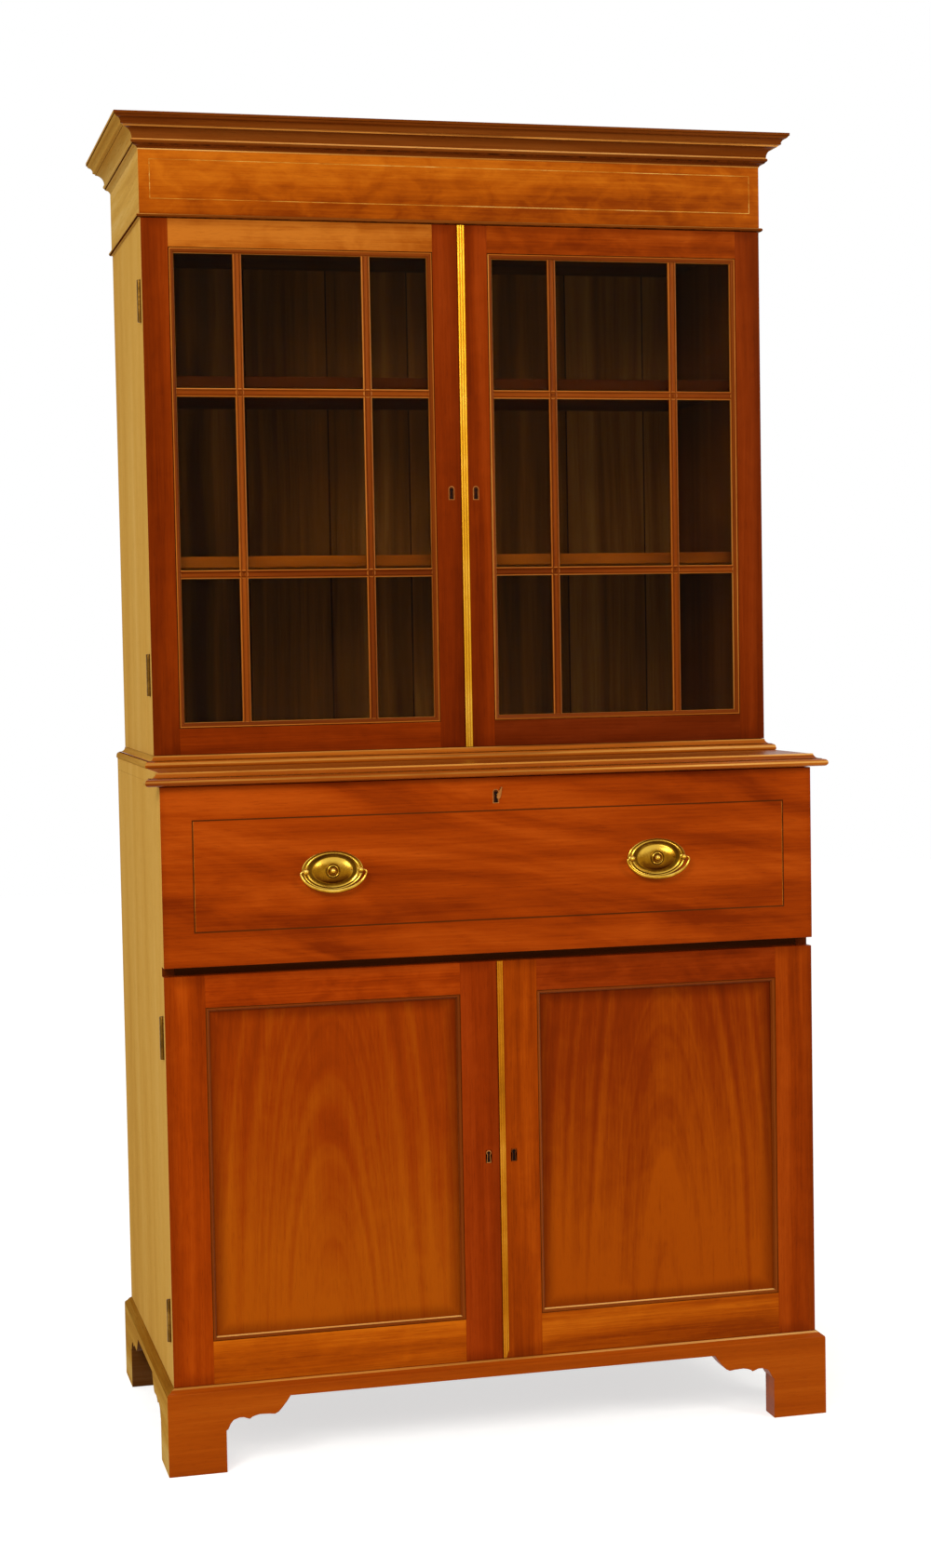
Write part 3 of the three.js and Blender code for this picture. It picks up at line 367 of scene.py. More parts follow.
# Lower case: two solid sides, long faded to a golden tan where light reached them, with
# the bottom and dustboard housed between and the top laid across. Inside they keep the
# colour of old unpolished wood. Their front edges take the hinges' leaves.
raw_upright = wood(
    "unpolished_upright", *inside_tones, grain="ZY", gloss=0.05, rough=0.6, seed=5.0,
)
side_wood = wood(
    "faded_side", (199, 143, 60), (216, 164, 76), (227, 180, 96), grain="ZY", seed=6.0, band=3,
    bands=0.45, lines=14, line=0.2, mottle=0.12, streak=0.25, pores=0.3, rough=0.5, gloss=0.0,
)
# The sides' front edges show only in the gaps by the doors and fall, so their red is darkened:
# painted shade.
shaded_edge_wood = wood("front_edge_shaded", *tones(94, 33, 3), seed=6.5)


def case_side(node, way):
    """Outside faded, front edge red like the doors and darkened with painted shade for the gaps
    beside them, inside and rear left bare.
    """
    inside = abs(extent(node)[way > 0]) - 10
    finished_board(
        node, "carcase", "aged_side_wood", side_wood, 0.7,
        (raw_upright, lambda face: face.normal.y > 0.5 or (
            face.normal.x * way < -0.5 and from_middle(face) < inside
        )),
        (shaded_edge_wood, lambda face: face.normal.y < -0.5),
    )


case_side("lower_side_left", -1)
case_side("lower_side_right", 1)
for node in ("lower_bottom", "cupboard_shelf"):
    finished_board(node, "carcase", "inside_wood", raw_wood)
# The dustboard's front edge is painted the dark brown of the shadow that the fall casts on it:
# painted shade.
shaded_rail_wood = wood("drawer_rail_shaded", *tones(66, 25, 3), grain="XZ", seed=3.0)
finished_board(
    "dustboard", "carcase", "inside_wood", raw_wood, 0.8,
    (shaded_rail_wood, lambda face: face.normal.y < -0.5),
)
runner_wood = wood("runner_wood", *inside_tones, grain="YX", gloss=0.05, rough=0.6)
for node in ("drawer_runner_left", "drawer_runner_right"):
    finished_board(node, "carcase", "inside_wood", runner_wood, 0.6)
back_wood = wood(
    "back_boards", (66, 38, 15), (106, 66, 30), (142, 96, 52), gloss=0.05, rough=0.7, boards=148,
    seed=7.0, bands=0.45, streak=0.45,
)
finished_board("lower_back", "carcase", "inside_wood", back_wood, 0.4)
top_wood = wood("case_top", *tones(146, 68, 12), grain="XY", seed=8.0)
finished_board(
    "lower_top", "carcase", "front_mahogany", top_wood, 0.5,
    (side_wood, lambda face: abs(face.normal.x) > 0.5),
    (raw_wood, lambda face: face.normal.y > 0.5 or face.normal.z < -0.5),
)


# Mouldings of the two cases: lengths of mahogany worked with planes to one section and
# mitred round the front corners. The nosing stands out over the fall, and the waist
# moulding hides the joint where the bookcase stands on the lower case.
def rounded(points, steps=6):
    """A section in which a third number, the rise over the chord, makes the stretch to
    the next point an arc, to the left of the way there."""
    outline = []
    for here, there in zip(points, points[1:] + points[:1]):
        outline.append(here[:2])
        if len(here) < 3:
            continue
        half = 2 * math.atan(2 * here[2])
        for n in range(1, steps):
            turn = half * (2 * n / steps - 1)
            along = 0.5 + math.sin(turn) / (2 * math.sin(half))
            off = (math.cos(turn) - math.cos(half)) / (2 * math.sin(half))
            run, rise = there[0] - here[0], there[1] - here[1]
            outline.append((here[0] + run * along - rise * off, here[1] + rise * along + run * off))
    return outline


def planed(section, stations, closed=False):
    """A length planed to one section: the section set up at each station and the
    lengths between bridged. A closed run joins its last station to its first."""
    bm = bmesh.new()
    loops = []
    for station in stations:
        corners = [bm.verts.new(station(out, rise)) for out, rise in section]
        loops.append([bm.edges.new(pair) for pair in zip(corners, corners[1:] + corners[:1])])
    for one, other in zip(loops, loops[1:] + (loops[:1] if closed else [])):
        bmesh.ops.bridge_loops(bm, edges=one + other)
    if not closed:
        for loop in (loops[0], loops[-1]):
            bmesh.ops.edgeloop_fill(bm, edges=loop)
    bmesh.ops.recalc_face_normals(bm, faces=bm.faces)
    soften(bm)
    return bm


def touch(bm, number, place, *patches):
    """Gives another finish to what lies in the patches of a section, each from a low to
    a high place out and from a low to a high rise."""
    for face in bm.faces:
        out, rise = (1000 * share for share in place(face.calc_center_median()))
        for low_out, high_out, low_rise, high_rise in patches:
            if low_out < out < high_out and low_rise < rise < high_rise:
                face.material_index = number


def clouds(tree, scale, detail, rough=0.5):
    """A noise with so many marks a metre every way."""
    return add(tree, "TexNoise", {
        "Vector": add(tree, "TexCoord").outputs["Object"], "Scale": scale, "Detail": detail,
        "Roughness": rough,
    }).outputs[0]


def mottled(name, scale, span, low, high, rough, gloss=0.0):
    """A dull finish, clouded from one colour to another over a span of a noise."""
    finish, tree, shader = blank(name)
    colour = ramp(tree, clouds(tree, scale, 4.0), [(span[0], low), (span[1], high)])
    tree.links.new(colour, shader.inputs["Base Color"])
    shader.inputs["Roughness"].default_value = rough
    shader.inputs["Specular IOR Level"].default_value = gloss
    return finish


nosing_wood = wood(
    "nosing_mahogany", *tones(155, 73, 10), grain="XZ", seed=9.0, line=0.2, rough=0.24, gloss=0.2,
)
aged_moulding = wood(
    "aged_moulding", *tones(196, 145, 62), grain="YZ", seed=9.8, bands=0.4, line=0.15,
    streak=0.25, rough=0.5, gloss=0.0,
)
# Dark in the quirks and sunk lines: painted shade where the light does not reach, with the wax that
# gathers there.
wax_and_shade = mottled("dark_wax_and_shade", 90.0, (0.35, 0.65), (54, 20, 3), (98, 42, 7), 0.6)


def moulding(name, node, wrapped, finish, section, worn_and_lit, sunk):
    """A run round three sides of the part that it wraps: pale on its arrises with painted
    highlights and some wear, dark in its sunk lines with painted shade and wax, and faded at the
    sides like the case."""
    half, front = -extent(wrapped)[0], extent(wrapped)[2]
    back, base = extent(node)[3:5]
    run = planed(rounded(section), [
        lambda out, rise: at(-half - out, back, base + rise),
        lambda out, rise: at(-half - out, front - out, base + rise),
        lambda out, rise: at(half + out, front - out, base + rise),
        lambda out, rise: at(half + out, back, base + rise),
    ])
    corner = at(half, front, base)

    def section_at(spot):
        return max(abs(spot.x) - corner.x, corner.y - spot.y), spot.z - corner.z

    # Painted highlights on the arrises, the faded sides, then painted shade in the sunk lines.
    touch(run, 1, section_at, *worn_and_lit)
    for face in run.faces:
        spot = face.calc_center_median()
        if abs(spot.x) - corner.x > corner.y - spot.y and face.normal.z < 0.98:
            face.material_index = 3
    touch(run, 2, section_at, *sunk)
    fit(
        run, name, "carcase", "dark_mahogany", finish, arris_wear_and_highlight, wax_and_shade, aged_moulding,
        stands_for=[node],
    )


moulding(
    "nosing_run", "top_nosing", "lower_top", nosing_wood,
    [
        (0, 0), (18.3, 0, -0.49), (18.3, 11.6), (15.9, 11.9), (15.3, 12.6, 0.22), (4.6, 20.5),
        (0, 20.5),
    ],
    [(16, 30, 6.5, 9.6), (0, 9, 18.6, 20.4)], [(15, 16.5, 11.6, 13.4)],
)
moulding(
    "waist_run", "waist_moulding", "upper_door_frame_left", nosing_wood,
    [
        (0, 0), (14.6, 0, -0.2), (15.5, 4.6, -0.2), (11.6, 10.1), (10.6, 10.4),
        (9.6, 11.0, 0.22), (0.4, 18.9), (0, 19),
    ],
    [(12, 20, 5.2, 7.6), (0, 4, 16.8, 18.8)], [(9.5, 11.5, 10.2, 12.4)],
)


# Bookcase: two sides, a floor board, a top and a boarded back, with two shelves that
# slide in behind the glass. The upper shelf is painted darker than the lower: painted shade, for
# the dimmer light high in the case.
case_side("upper_side_left", -1)
case_side("upper_side_right", 1)
for node in ("upper_base", "upper_top"):
    finished_board(node, "carcase", "inside_wood", raw_wood, 0.5)
finished_board("upper_back", "carcase", "inside_wood", back_wood, 0.4)
# One wood in two tones: the upper shelf is darker as painted shade.
for node, colour in (("bookshelf_lower", (142, 74, 14)), ("bookshelf_upper", (74, 32, 8))):
    shelf_wood = wood(
        node + "_wood", *tones(*colour), grain="XY", seed=10.0, rough=0.45, gloss=0.05,
    )
    finished_board(node, "carcase", "inside_wood", shelf_wood, 1.2)


# Bead, frieze and cornice: the head of the bookcase. The frieze is veneered with plain
# mottled mahogany and strung with a line of boxwood; the cornice is built up of a cove,
# an astragal and a cyma. The sides have faded like the case below them.
moulding_wood = wood(
    "cornice_mahogany", *tones(110, 50, 8), grain="XZ", seed=11.0, line=0.2, rough=0.26,
    gloss=0.06,
)
moulding(
    "bead_run", "bead_moulding", "frieze", moulding_wood,
    [(-20, 0), (1.9, 0, -0.49), (1.9, 6.2), (-20, 6.2)],
    [(1.5, 9, 4.0, 6.0)], [(0, 9, 0, 1.6)],
)
frieze_wood = wood(
    "frieze_veneer", *tones(166, 76, 6), grain="XZ", seed=12.0, bands=0.7, mottle=0.5, line=0.2,
)
frieze_end = wood(
    "frieze_end", *tones(216, 167, 80), grain="YZ", seed=12.5, bands=0.4, line=0.1, streak=0.2,
    gloss=0.0, rough=0.5,
)
inner = extent("frieze")[1] - 10
finished_board(
    "frieze", "carcase", "frieze_veneer", frieze_wood, 0.5,
    (frieze_end, lambda face: from_middle(face) > inner and abs(face.normal.x) > 0.5),
    (raw_wood, lambda face: face.normal.y > 0.5 or (
        abs(face.normal.x) > 0.5 and from_middle(face) < inner
    )),
)
moulding(
    "cornice_run", "cornice", "frieze", moulding_wood,
    [
        (-20, 0), (0, 0), (1.0, 1.6, 0.1), (5.0, 5.2, -0.12), (9.5, 7.6), (9.6, 8.2, -0.42),
        (9.5, 14.6), (10.1, 15.4, 0.2), (24.6, 31.3), (25.3, 31.4), (25.4, 33.0),
        (28.6, 33.9, -0.3), (29.6, 36.6, 0.1), (33.6, 42.6, -0.14), (39.4, 46.9), (40.9, 47.4),
        (41, 51.8), (-20, 51.8),
    ],
    [(25, 29, 31.6, 33.8), (8, 13, 13.2, 15.2), (0, 3, 0.4, 2.0)],
    [(24, 25.4, 31, 31.5), (6, 9.7, 6.6, 9.4), (38, 41, 46.6, 47.6)],
)
dust_wood = wood(
    "cornice_dust_board", (92, 66, 36), (134, 104, 66), (164, 136, 98), grain="XY", gloss=0.05,
    rough=0.8, boards=190, seed=13.0, streak=0.6,
)
finished_board("cornice_top", "carcase", "inside_wood", dust_wood, 0.5)


def framed(section, x0, x1, z0, z1, face):
    """A mitred ring: the section stands out from the opening and back from the face."""
    return planed(section, [
        lambda out, back: at(x0 - out, face + back, z0 - out),
        lambda out, back: at(x1 + out, face + back, z0 - out),
        lambda out, back: at(x1 + out, face + back, z1 + out),
        lambda out, back: at(x0 - out, face + back, z1 + out),
    ], closed=True)


def string_ring(name, body, slot, finish, node, insets, width, proud=0.12):
    """A line of stringing let into the veneer and scraped almost level, set in from the
    sides, the foot and the top of the board."""
    x0, x1, face, _, z0, z1 = extent(node)
    sides, foot, top = insets
    line = [(0, -proud), (width, -proud), (width, 0.4), (0, 0.4)]
    ring = framed(line, x0 + sides, x1 - sides, z0 + foot, z1 - top, face)
    fit(ring, name, body, slot, finish)


boxwood = wood(
    "boxwood_string", (168, 86, 16), (194, 128, 42), (222, 170, 84), grain="XZ", turns="XZ",
    band=30, bands=1.2, line=0.0, mottle=0.9, pores=0.6, seed=14.0,
)
string_ring(
    "frieze_string", "carcase", "frieze_veneer", boxwood, "frieze", (18.4, 24.8, 15.2), 1.1,
)


# Doors: each leaf is a frame of two full-height stiles with rails tenoned between them,
# each board cut from its own plank. A quirked ovolo is mitred round the opening.
# The lower leaves hold sunk panels, the upper ones thin moulded bars over the glass.
def plain_board(x0, x1, y0, y1, z0, z1):
    low, high = at(x0, y0, z0), at(x1, y1, z1)
    place = Matrix.Translation((low + high) / 2) @ Matrix.Diagonal((*(high - low), 1))
    bm = bmesh.new()
    bmesh.ops.create_cube(bm, size=1, matrix=place)
    return bm


def sawn(bm, spot, away):
    """Saws through at the spot and drops what lies on the away side of the cut."""
    bmesh.ops.bisect_plane(
        bm, geom=bm.verts[:] + bm.edges[:] + bm.faces[:], dist=0.000001, plane_co=spot,
        plane_no=away, clear_outer=True,
    )
    bmesh.ops.holes_fill(bm, edges=[e for e in bm.edges if e.is_boundary], sides=0)


sticking = dict(
    upper=rounded([
        (9, 0.1), (8.7, 1.5), (8.0, 1.5), (7.7, 0.3, 0.12), (3.4, 0.9, 0.1), (0.5, 4.4),
        (0, 4.9), (0, 9), (6, 9), (6, 20), (9, 20),
    ]),
    lower=rounded([
        (6.5, 0.1), (6.2, 1.9), (5.5, 1.9), (5.2, 0.5, 0.2), (0.7, 5.2), (0, 5.6), (0, 7),
        (6, 7), (6, 20), (6.5, 20),
    ]),
)
door_planks = {
    ("upper", "left"): ((126, 42, 2), (121, 38, 2), (162, 80, 14), (134, 45, 2)),
    ("upper", "right"): ((118, 38, 2), (127, 41, 2), (140, 52, 3), (102, 31, 2)),
    ("lower", "left"): ((155, 55, 2), (136, 43, 2), (151, 51, 2), (175, 77, 4)),
    ("lower", "right"): ((143, 50, 2), (155, 59, 2), (130, 41, 2), (168, 73, 4)),
}
# Pale sticking arrises: painted highlights, with some wear.
sticking_wear_and_highlight = wood(
    "sticking_highlight_and_wear", *tones(178, 100, 28), grain="XY", turns="XZ", seed=16.0, rough=0.3,
    gloss=0.3,
)
doors = (
    ("upper", "left", -1), ("upper", "right", 1), ("lower", "left", -1), ("lower", "right", 1),
)
rebate_lap = 5.7  # from the edge of the opening to the edge of the glass or panel behind
anywhere = -3000, 3000
openings = {}
for tier, hand, way in doors:
    node, body = f"{tier}_door_frame_{hand}", f"{tier}_door_{hand}"
    upper = tier == "upper"
    x0, x1, face, back, z0, z1 = extent(node)
    infill = extent(f"door_glass_{hand}" if upper else f"lower_door_panel_{hand}")
    left, right = infill[0] + rebate_lap, infill[1] - rebate_lap
    foot, head = infill[4] + rebate_lap, infill[5] - rebate_lap
    openings[tier, hand] = left, right, foot, head
    rim_out = max(-x0, x1) - 10
    stick = max(out for out, _ in sticking[tier])
    planks = dict(zip(("outer", "meeting", "top", "bottom"), door_planks[tier, hand]))
    seed = 15.0 + 3 * way + (7 if upper else 0)
    first, last = ("outer", "meeting")[::-way]
    for edge, cut, keep in ((first, left - stick, -1), (last, right + stick, 1)):
        bm = board_of(node)
        sawn(bm, at(cut, 0, 0), Vector((-keep, 0, 0)))
        soften(bm)
        for rim in bm.faces:
            if abs(rim.normal.x) > 0.7 and from_middle(rim) > rim_out:
                rim.material_index = 1
        ease(bm, 0.35)
        finish = wood(
            f"{tier}_{hand}_{edge}_stile", *tones(*planks[edge]), seed=seed + keep,
            shade=(x0, x1, z0, z1, 24, 0.4), fade=(z0, z1, -0.1 if upper else 0.1), mottle=0.2,
        )
        fit(
            bm, f"{tier}_{edge}_stile_{hand}", body, "front_mahogany", finish, side_wood,
            stands_for=[node],
        )
    for edge, low, high, step in (("bottom", z0, foot - stick, -1), ("top", head + stick, z1, 1)):
        bm = plain_board(left - stick, right + stick, face, back, low, high)
        soften(bm)
        ease(bm, 0.2)
        finish = wood(
            f"{tier}_{hand}_{edge}_rail", *tones(*planks[edge]), grain="XZ",
            seed=seed + 20 + step, shade=(*anywhere, z0, z1, 18, 0.35),
            mottle=0.45 if edge == "top" else 0.2, streak=0.7,
        )
        fit(bm, f"{tier}_{edge}_rail_{hand}", body, "front_mahogany", finish)
    stick_wood = wood(
        f"{tier}_{hand}_sticking", *tones(116, 46, 4), grain="XY", turns="XZ", seed=seed + 40,
        rough=0.26, gloss=0.25,
    )
    ring = framed(sticking[tier], left, right, foot, head, face)
    middle = at((left + right) / 2, 0, (foot + head) / 2)
    half_width, half_height = (right - left) / 2000, (head - foot) / 2000

    def from_opening(spot):
        """How far out of the opening, and how far below its middle."""
        out = max(abs(spot.x - middle.x) - half_width, abs(spot.z - middle.z) - half_height)
        return out, middle.z - spot.z

    # The quirk beside the frame is dark with painted shade and wax. The arrises next to it and by
    # the glass carry painted highlights with some wear, and on the lower doors only the one below
    # the panel, which faces up.
    if upper:
        quirk = stick - 1.35
        touch(ring, 1, from_opening, (stick - 2.6, quirk, *anywhere), (-1, 0.7, *anywhere))
        touch(ring, 2, from_opening, (quirk, stick - 0.2, *anywhere))
    else:
        touch(ring, 1, from_opening, (-1, 1.4, half_height * 1000 - 3, anywhere[1]))
    worn_and_lit = sticking_wear_and_highlight if upper else arris_wear_and_highlight
    fit(ring, f"{tier}_sticking_{hand}", body, "front_mahogany", stick_wood, worn_and_lit, wax_and_shade)


# Panels of the lower doors: flat boards of crown-cut mahogany, slid into the frames.
# The growth lines rise in tall arches up the middle of each.
for hand, way, panel_tones in (
    ("left", -1, [(114, 34, 1), (146, 51, 2), (169, 77, 5)]),
    ("right", 1, [(101, 28, 1), (129, 42, 2), (162, 69, 3)]),
):
    left, right, foot, head = openings["lower", hand]
    panel_wood = wood(
        f"crown_cut_{hand}", *panel_tones, seed=31.0 + way,
        arch=((left + right) / 2 + 12 * way, foot - 90, 0.17), lines=62, line=0.33, band=3,
        bands=0.3, mottle=0.15, streak=0.3, pores=0.28, shade=(left, right, foot, head, 26, 0.55),
        fade=(foot - 60, head, 0.46),
    )
    finished_board(
        f"lower_door_panel_{hand}", f"lower_door_{hand}", "flame_mahogany", panel_wood, 0.4,
    )


# Glazing bars: thin bars with an astragal nose and a hollow each side, halved together
# where they cross, so that their mouldings meet in mitres.
bar_section = rounded([
    (-7, 8), (-7, 4.4, -0.14), (-4.2, 2.5), (-4.1, 3.1), (-3.5, 2.9, 0.3), (3.5, 2.9),
    (4.1, 3.1), (4.2, 2.5, -0.14), (7, 4.4), (7, 8),
], 5)
bar_woods = {
    kind: wood(f"bar_{kind}", *tones(126, 52, 5), grain=grain, seed=seed, rough=0.26, gloss=0.25)
    for kind, grain, seed in (("upright", "ZX", 33.0), ("level", "XZ", 34.0))
}
bar_end = 0.5  # let into the frame
# From the edge of the opening to the middle of a bar: sideways, from the foot, from the top.
side_light, low_light, high_light = 102.4, 238.6, 221.5


def glazing_bar(kind, number, hand, middle, start, end):
    upright = kind == "upright"
    nose = extent(f"glazing_bars_{hand}")[2]

    def station(stop):
        if upright:
            return lambda u, v: at(middle + u, nose + v, stop)
        return lambda u, v: at(stop, nose + v, middle + u)

    def from_nose(spot):
        return abs((spot.x if upright else spot.z) - middle / 1000), spot.z

    bm = planed(bar_section, [station(start - bar_end), station(end + bar_end)])
    # Painted shade with wax in the quirks beside the nose, painted highlights with some wear on the
    # hollows.
    touch(bm, 1, from_nose, (3.45, 4.25, *anywhere))
    touch(bm, 2, from_nose, (5.4, 6.95, *anywhere))
    fit(
        bm, f"{kind}_bar_{number}_{hand}", f"upper_door_{hand}", "front_mahogany",
        bar_woods[kind], wax_and_shade, sticking_wear_and_highlight, stands_for=[f"glazing_bars_{hand}"] if upright else (),
    )


for hand in ("left", "right"):
    left, right, foot, head = openings["upper", hand]
    for number, x in enumerate((left + side_light, right - side_light), 1):
        glazing_bar("upright", number, hand, x, foot, head)
    for number, z in enumerate((foot + low_light, head - high_light), 1):
        glazing_bar("level", number, hand, z, left, right)


# Glass: thin old crown glass, held in the rebates behind the bars. It is faintly warm
# with age and a little uneven.
glass, tree, shader = blank("old_glass")
shader.inputs["Transmission Weight"].default_value = 1.0
shader.inputs["IOR"].default_value = 1.08
shader.inputs["Roughness"].default_value = 0.02
ripple = clouds(tree, 9.0, 1.0)
tree.links.new(
    ramp(tree, ripple, [(0.2, (222, 214, 184)), (0.8, (234, 227, 200))]),
    shader.inputs["Base Color"],
)
uneven(tree, shader, ripple, 0.3, 0.0008)
for node in ("door_glass_left", "door_glass_right"):
    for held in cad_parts[node].material_slots:
        held.material = glass


# Brass strips: a reeded strip pinned to each right-hand leaf, so that it covers the
# joint between the two doors. The lower one has lost a corner at its foot.
def brass(name, deep, plain, bright, rough, worn=26.0, lit_from_above=0.0):
    """Old lacquered brass: bright where hands and cloths reach, brown in the hollows.
    The last number paints light and shade: faces that look up are made brighter and those that look
    down darker."""
    metal, tree, shader = blank(name)
    worn_patches, speck = clouds(tree, worn, 4.0, 0.6), clouds(tree, 900.0, 2.0)
    rise = add(tree, "SeparateXYZ", {0: add(tree, "TexCoord").outputs["Normal"]}).outputs["Z"]
    value = marked(tree, worn_patches, speck, 0.35)
    # Painted light and shade: brighter where the face looks up, darker where it looks down.
    value = reckon(tree, "MULTIPLY_ADD", rise, lit_from_above, value)
    colour = ramp(tree, value, [(0.2, deep), (0.5, plain), (0.8, bright)])
    tree.links.new(colour, shader.inputs["Base Color"])
    shader.inputs["Metallic"].default_value = 1.0
    dull = reckon(tree, "MULTIPLY_ADD", worn_patches, -0.2, rough + 0.1)
    tree.links.new(dull, shader.inputs["Roughness"])
    uneven(tree, shader, speck, 0.25, 0.00008)
    return metal


def reeds(width):
    """Three reeds side by side, standing out from the doors' face."""
    third = width / 3
    section = [(0, 0)]
    for n in range(3):
        section += [(n * third + 0.3, -1.6, 0.42), ((n + 1) * third - 0.3, -1.6)]
    return rounded(section + [(width, 0)], 7)


lost_height = 14
for tier, rough, *colours in (
    ("upper", 0.3, (182, 126, 20), (202, 148, 32), (226, 180, 70)),
    ("lower", 0.4, (146, 84, 10), (182, 114, 18), (206, 146, 44)),
):
    metal = brass(f"{tier}_strip_brass", *colours, rough, 9.0)
    x0, x1, _, y1, z0, z1 = extent(f"{tier}_door_strip")
    bm = planed(reeds(x1 - x0), [
        lambda u, v: at(x0 + u, y1 + v, z0), lambda u, v: at(x0 + u, y1 + v, z1),
    ])
    if tier == "lower":
        middle = (x0 + x1) / 2
        sawn(bm, at(middle, 0, z0), Vector((lost_height, 0, middle - x1)).normalized())
        soften(bm)
    fit(
        bm, f"reeded_strip_{tier}", f"{tier}_door_right", "brass", metal,
        stands_for=[f"{tier}_door_strip"],
    )


# Butt hinges: a knuckle of five rolls on a pin, one leaf screwed into the case side and
# one let into the back of the door. They are brown with age.
def spun(profile, centre, axis, steps=32):
    """Turned on a lathe: the profile gives radius and place along the axis."""
    axis = Vector(axis)
    out = Vector((1, 0, 0))
    bm = bmesh.new()
    points = [
        bm.verts.new(centre + (out * radius + axis * place) / 1000) for radius, place in profile
    ]
    edges = [bm.edges.new(pair) for pair in zip(points, points[1:])]
    bmesh.ops.spin(
        bm, geom=points + edges, cent=centre, axis=axis, angle=2 * math.pi, steps=steps,
        use_merge=True,
    )
    bmesh.ops.remove_doubles(bm, verts=bm.verts, dist=0.000002)
    bmesh.ops.recalc_face_normals(bm, faces=bm.faces)
    soften(bm)
    return bm


def merged(*parts):
    """Several shapes as one piece."""
    whole = bmesh.new()
    for part in parts:
        holder = bpy.data.meshes.new("holder")
        part.to_mesh(holder)
        part.free()
        whole.from_mesh(holder)
        bpy.data.meshes.remove(holder)
    return whole


def screw_heads(x, y, heights, into):
    """Countersunk heads, a hair proud of the leaf, each with its slot."""
    heads = []
    profile = [(0, 0), (2.0, 0), (2.6, 0.15 * into), (2.6, 0.8 * into), (0, 0.8 * into)]
    for z in heights:
        heads.append(spun(profile, at(x, y, z), (0, 1, 0), 16))
        heads.append(plain_board(x - 2.2, x + 2.2, y - 0.05, y + 0.05, z - 0.25, z + 0.25))
    return heads


hinge_brass = brass("hinge_brass", (62, 38, 10), (104, 70, 20), (152, 112, 44), 0.42)
pin_out, leaf_width, screws_in = 1.9, 16, 9
for tier, hand, way in doors:
    door = extent(f"{tier}_door_frame_{hand}")
    half, rear = abs(door[way > 0]), door[3]
    for end in ("bottom", "top"):
        node = f"{tier}_hinge_{end}_{hand}"
        z0, z1 = extent(node)[4:]
        length = z1 - z0
        profile = [(0, 0), (2.6, 0), (3.6, 0.4), (4, 1.2)]
        for n in range(1, 5):
            joint = n * length / 5
            profile += [
                (4, joint - 0.35), (3.5, joint - 0.15), (3.5, joint + 0.15), (4, joint + 0.35),
            ]
        profile += [(4, length - 1.2), (3.6, length - 0.4), (2.6, length), (0, length)]
        knuckle = spun(profile, at(way * (half + pin_out), rear, z0), (0, 0, 1), 24)

        def leaf(edge, front, back, head, into):
            """A leaf and its screws, by depths from the back of the door."""
            low, high = sorted((way * (half - leaf_width), way * edge))
            heights = [z0 + length * share for share in (0.17, 0.5, 0.83)]
            return (
                plain_board(low, high, rear + front, rear + back, z0, z1),
                *screw_heads(way * (half - screws_in), rear + head, heights, into),
            )

        fit(
            merged(knuckle, *leaf(half, 0.3, 2.3, 0.25, 1)), node + "_butt", "carcase", "brass",
            hinge_brass, stands_for=[node],
        )
        fit(
            merged(*leaf(half - 0.5, -1.6, 0.05, 0.1, -1)), f"{tier}_door_leaf_{end}_{hand}",
            f"{tier}_door_{hand}", "brass", hinge_brass,
        )


# Keyholes: the upper doors and the fall have an arched plate of brown brass with a
# paler rim, the lower doors a thin thread of brass driven in round the hole itself. The
# dark lock shows behind.
thread_brass = brass("thread_brass", (124, 68, 26), (166, 104, 48), (196, 142, 80), 0.4)
plate_brass = brass("plate_brass", (58, 26, 10), (84, 40, 16), (116, 62, 28), 0.45)
lock_iron = mottled("lock_iron", 320.0, (0.35, 0.65), (16, 7, 3), (46, 20, 8), 0.7, 0.1)
arch = rounded([(-5.1, 0), (5.1, 0), (5.1, 17.6, -0.5), (-5.1, 17.6)], 12)
arch_inside = rounded([(-4.1, 1), (4.1, 1), (4.1, 17.6, -0.5), (-4.1, 17.6)], 12)
thread = rounded([
    (-3.7, 0.3), (3.7, 0.3), (2.5, 12.4), (2.9, 13.6, -1.2), (-2.9, 13.6), (-2.5, 12.4),
], 14)
key_slot = rounded([
    (-2.8, 1.2), (2.8, 1.2), (1.6, 12.6), (2.2, 14.2, -1.1), (-2.2, 14.2), (-1.6, 12.6),
], 14)


def lining(name, body, finish, spot, outer, inner, proud):
    """A thin plate, cut to the outer line and pierced to the inner one."""
    x, face, foot = spot
    bm = bmesh.new()
    edges = []
    for outline in (outer, inner):
        verts = [bm.verts.new(at(x + u, face - proud, foot + v)) for u, v in outline]
        edges += [bm.edges.new(pair) for pair in zip(verts, verts[1:] + verts[:1])]
    bmesh.ops.triangle_fill(bm, edges=edges, use_beauty=True)
    rear = bmesh.ops.extrude_face_region(bm, geom=bm.faces[:])["geom"]
    bmesh.ops.translate(
        bm, vec=(0, 0.0022, 0), verts=[v for v in rear if isinstance(v, bmesh.types.BMVert)],
    )
    bmesh.ops.recalc_face_normals(bm, faces=bm.faces)
    soften(bm)
    fit(bm, name, body, "brass", finish)


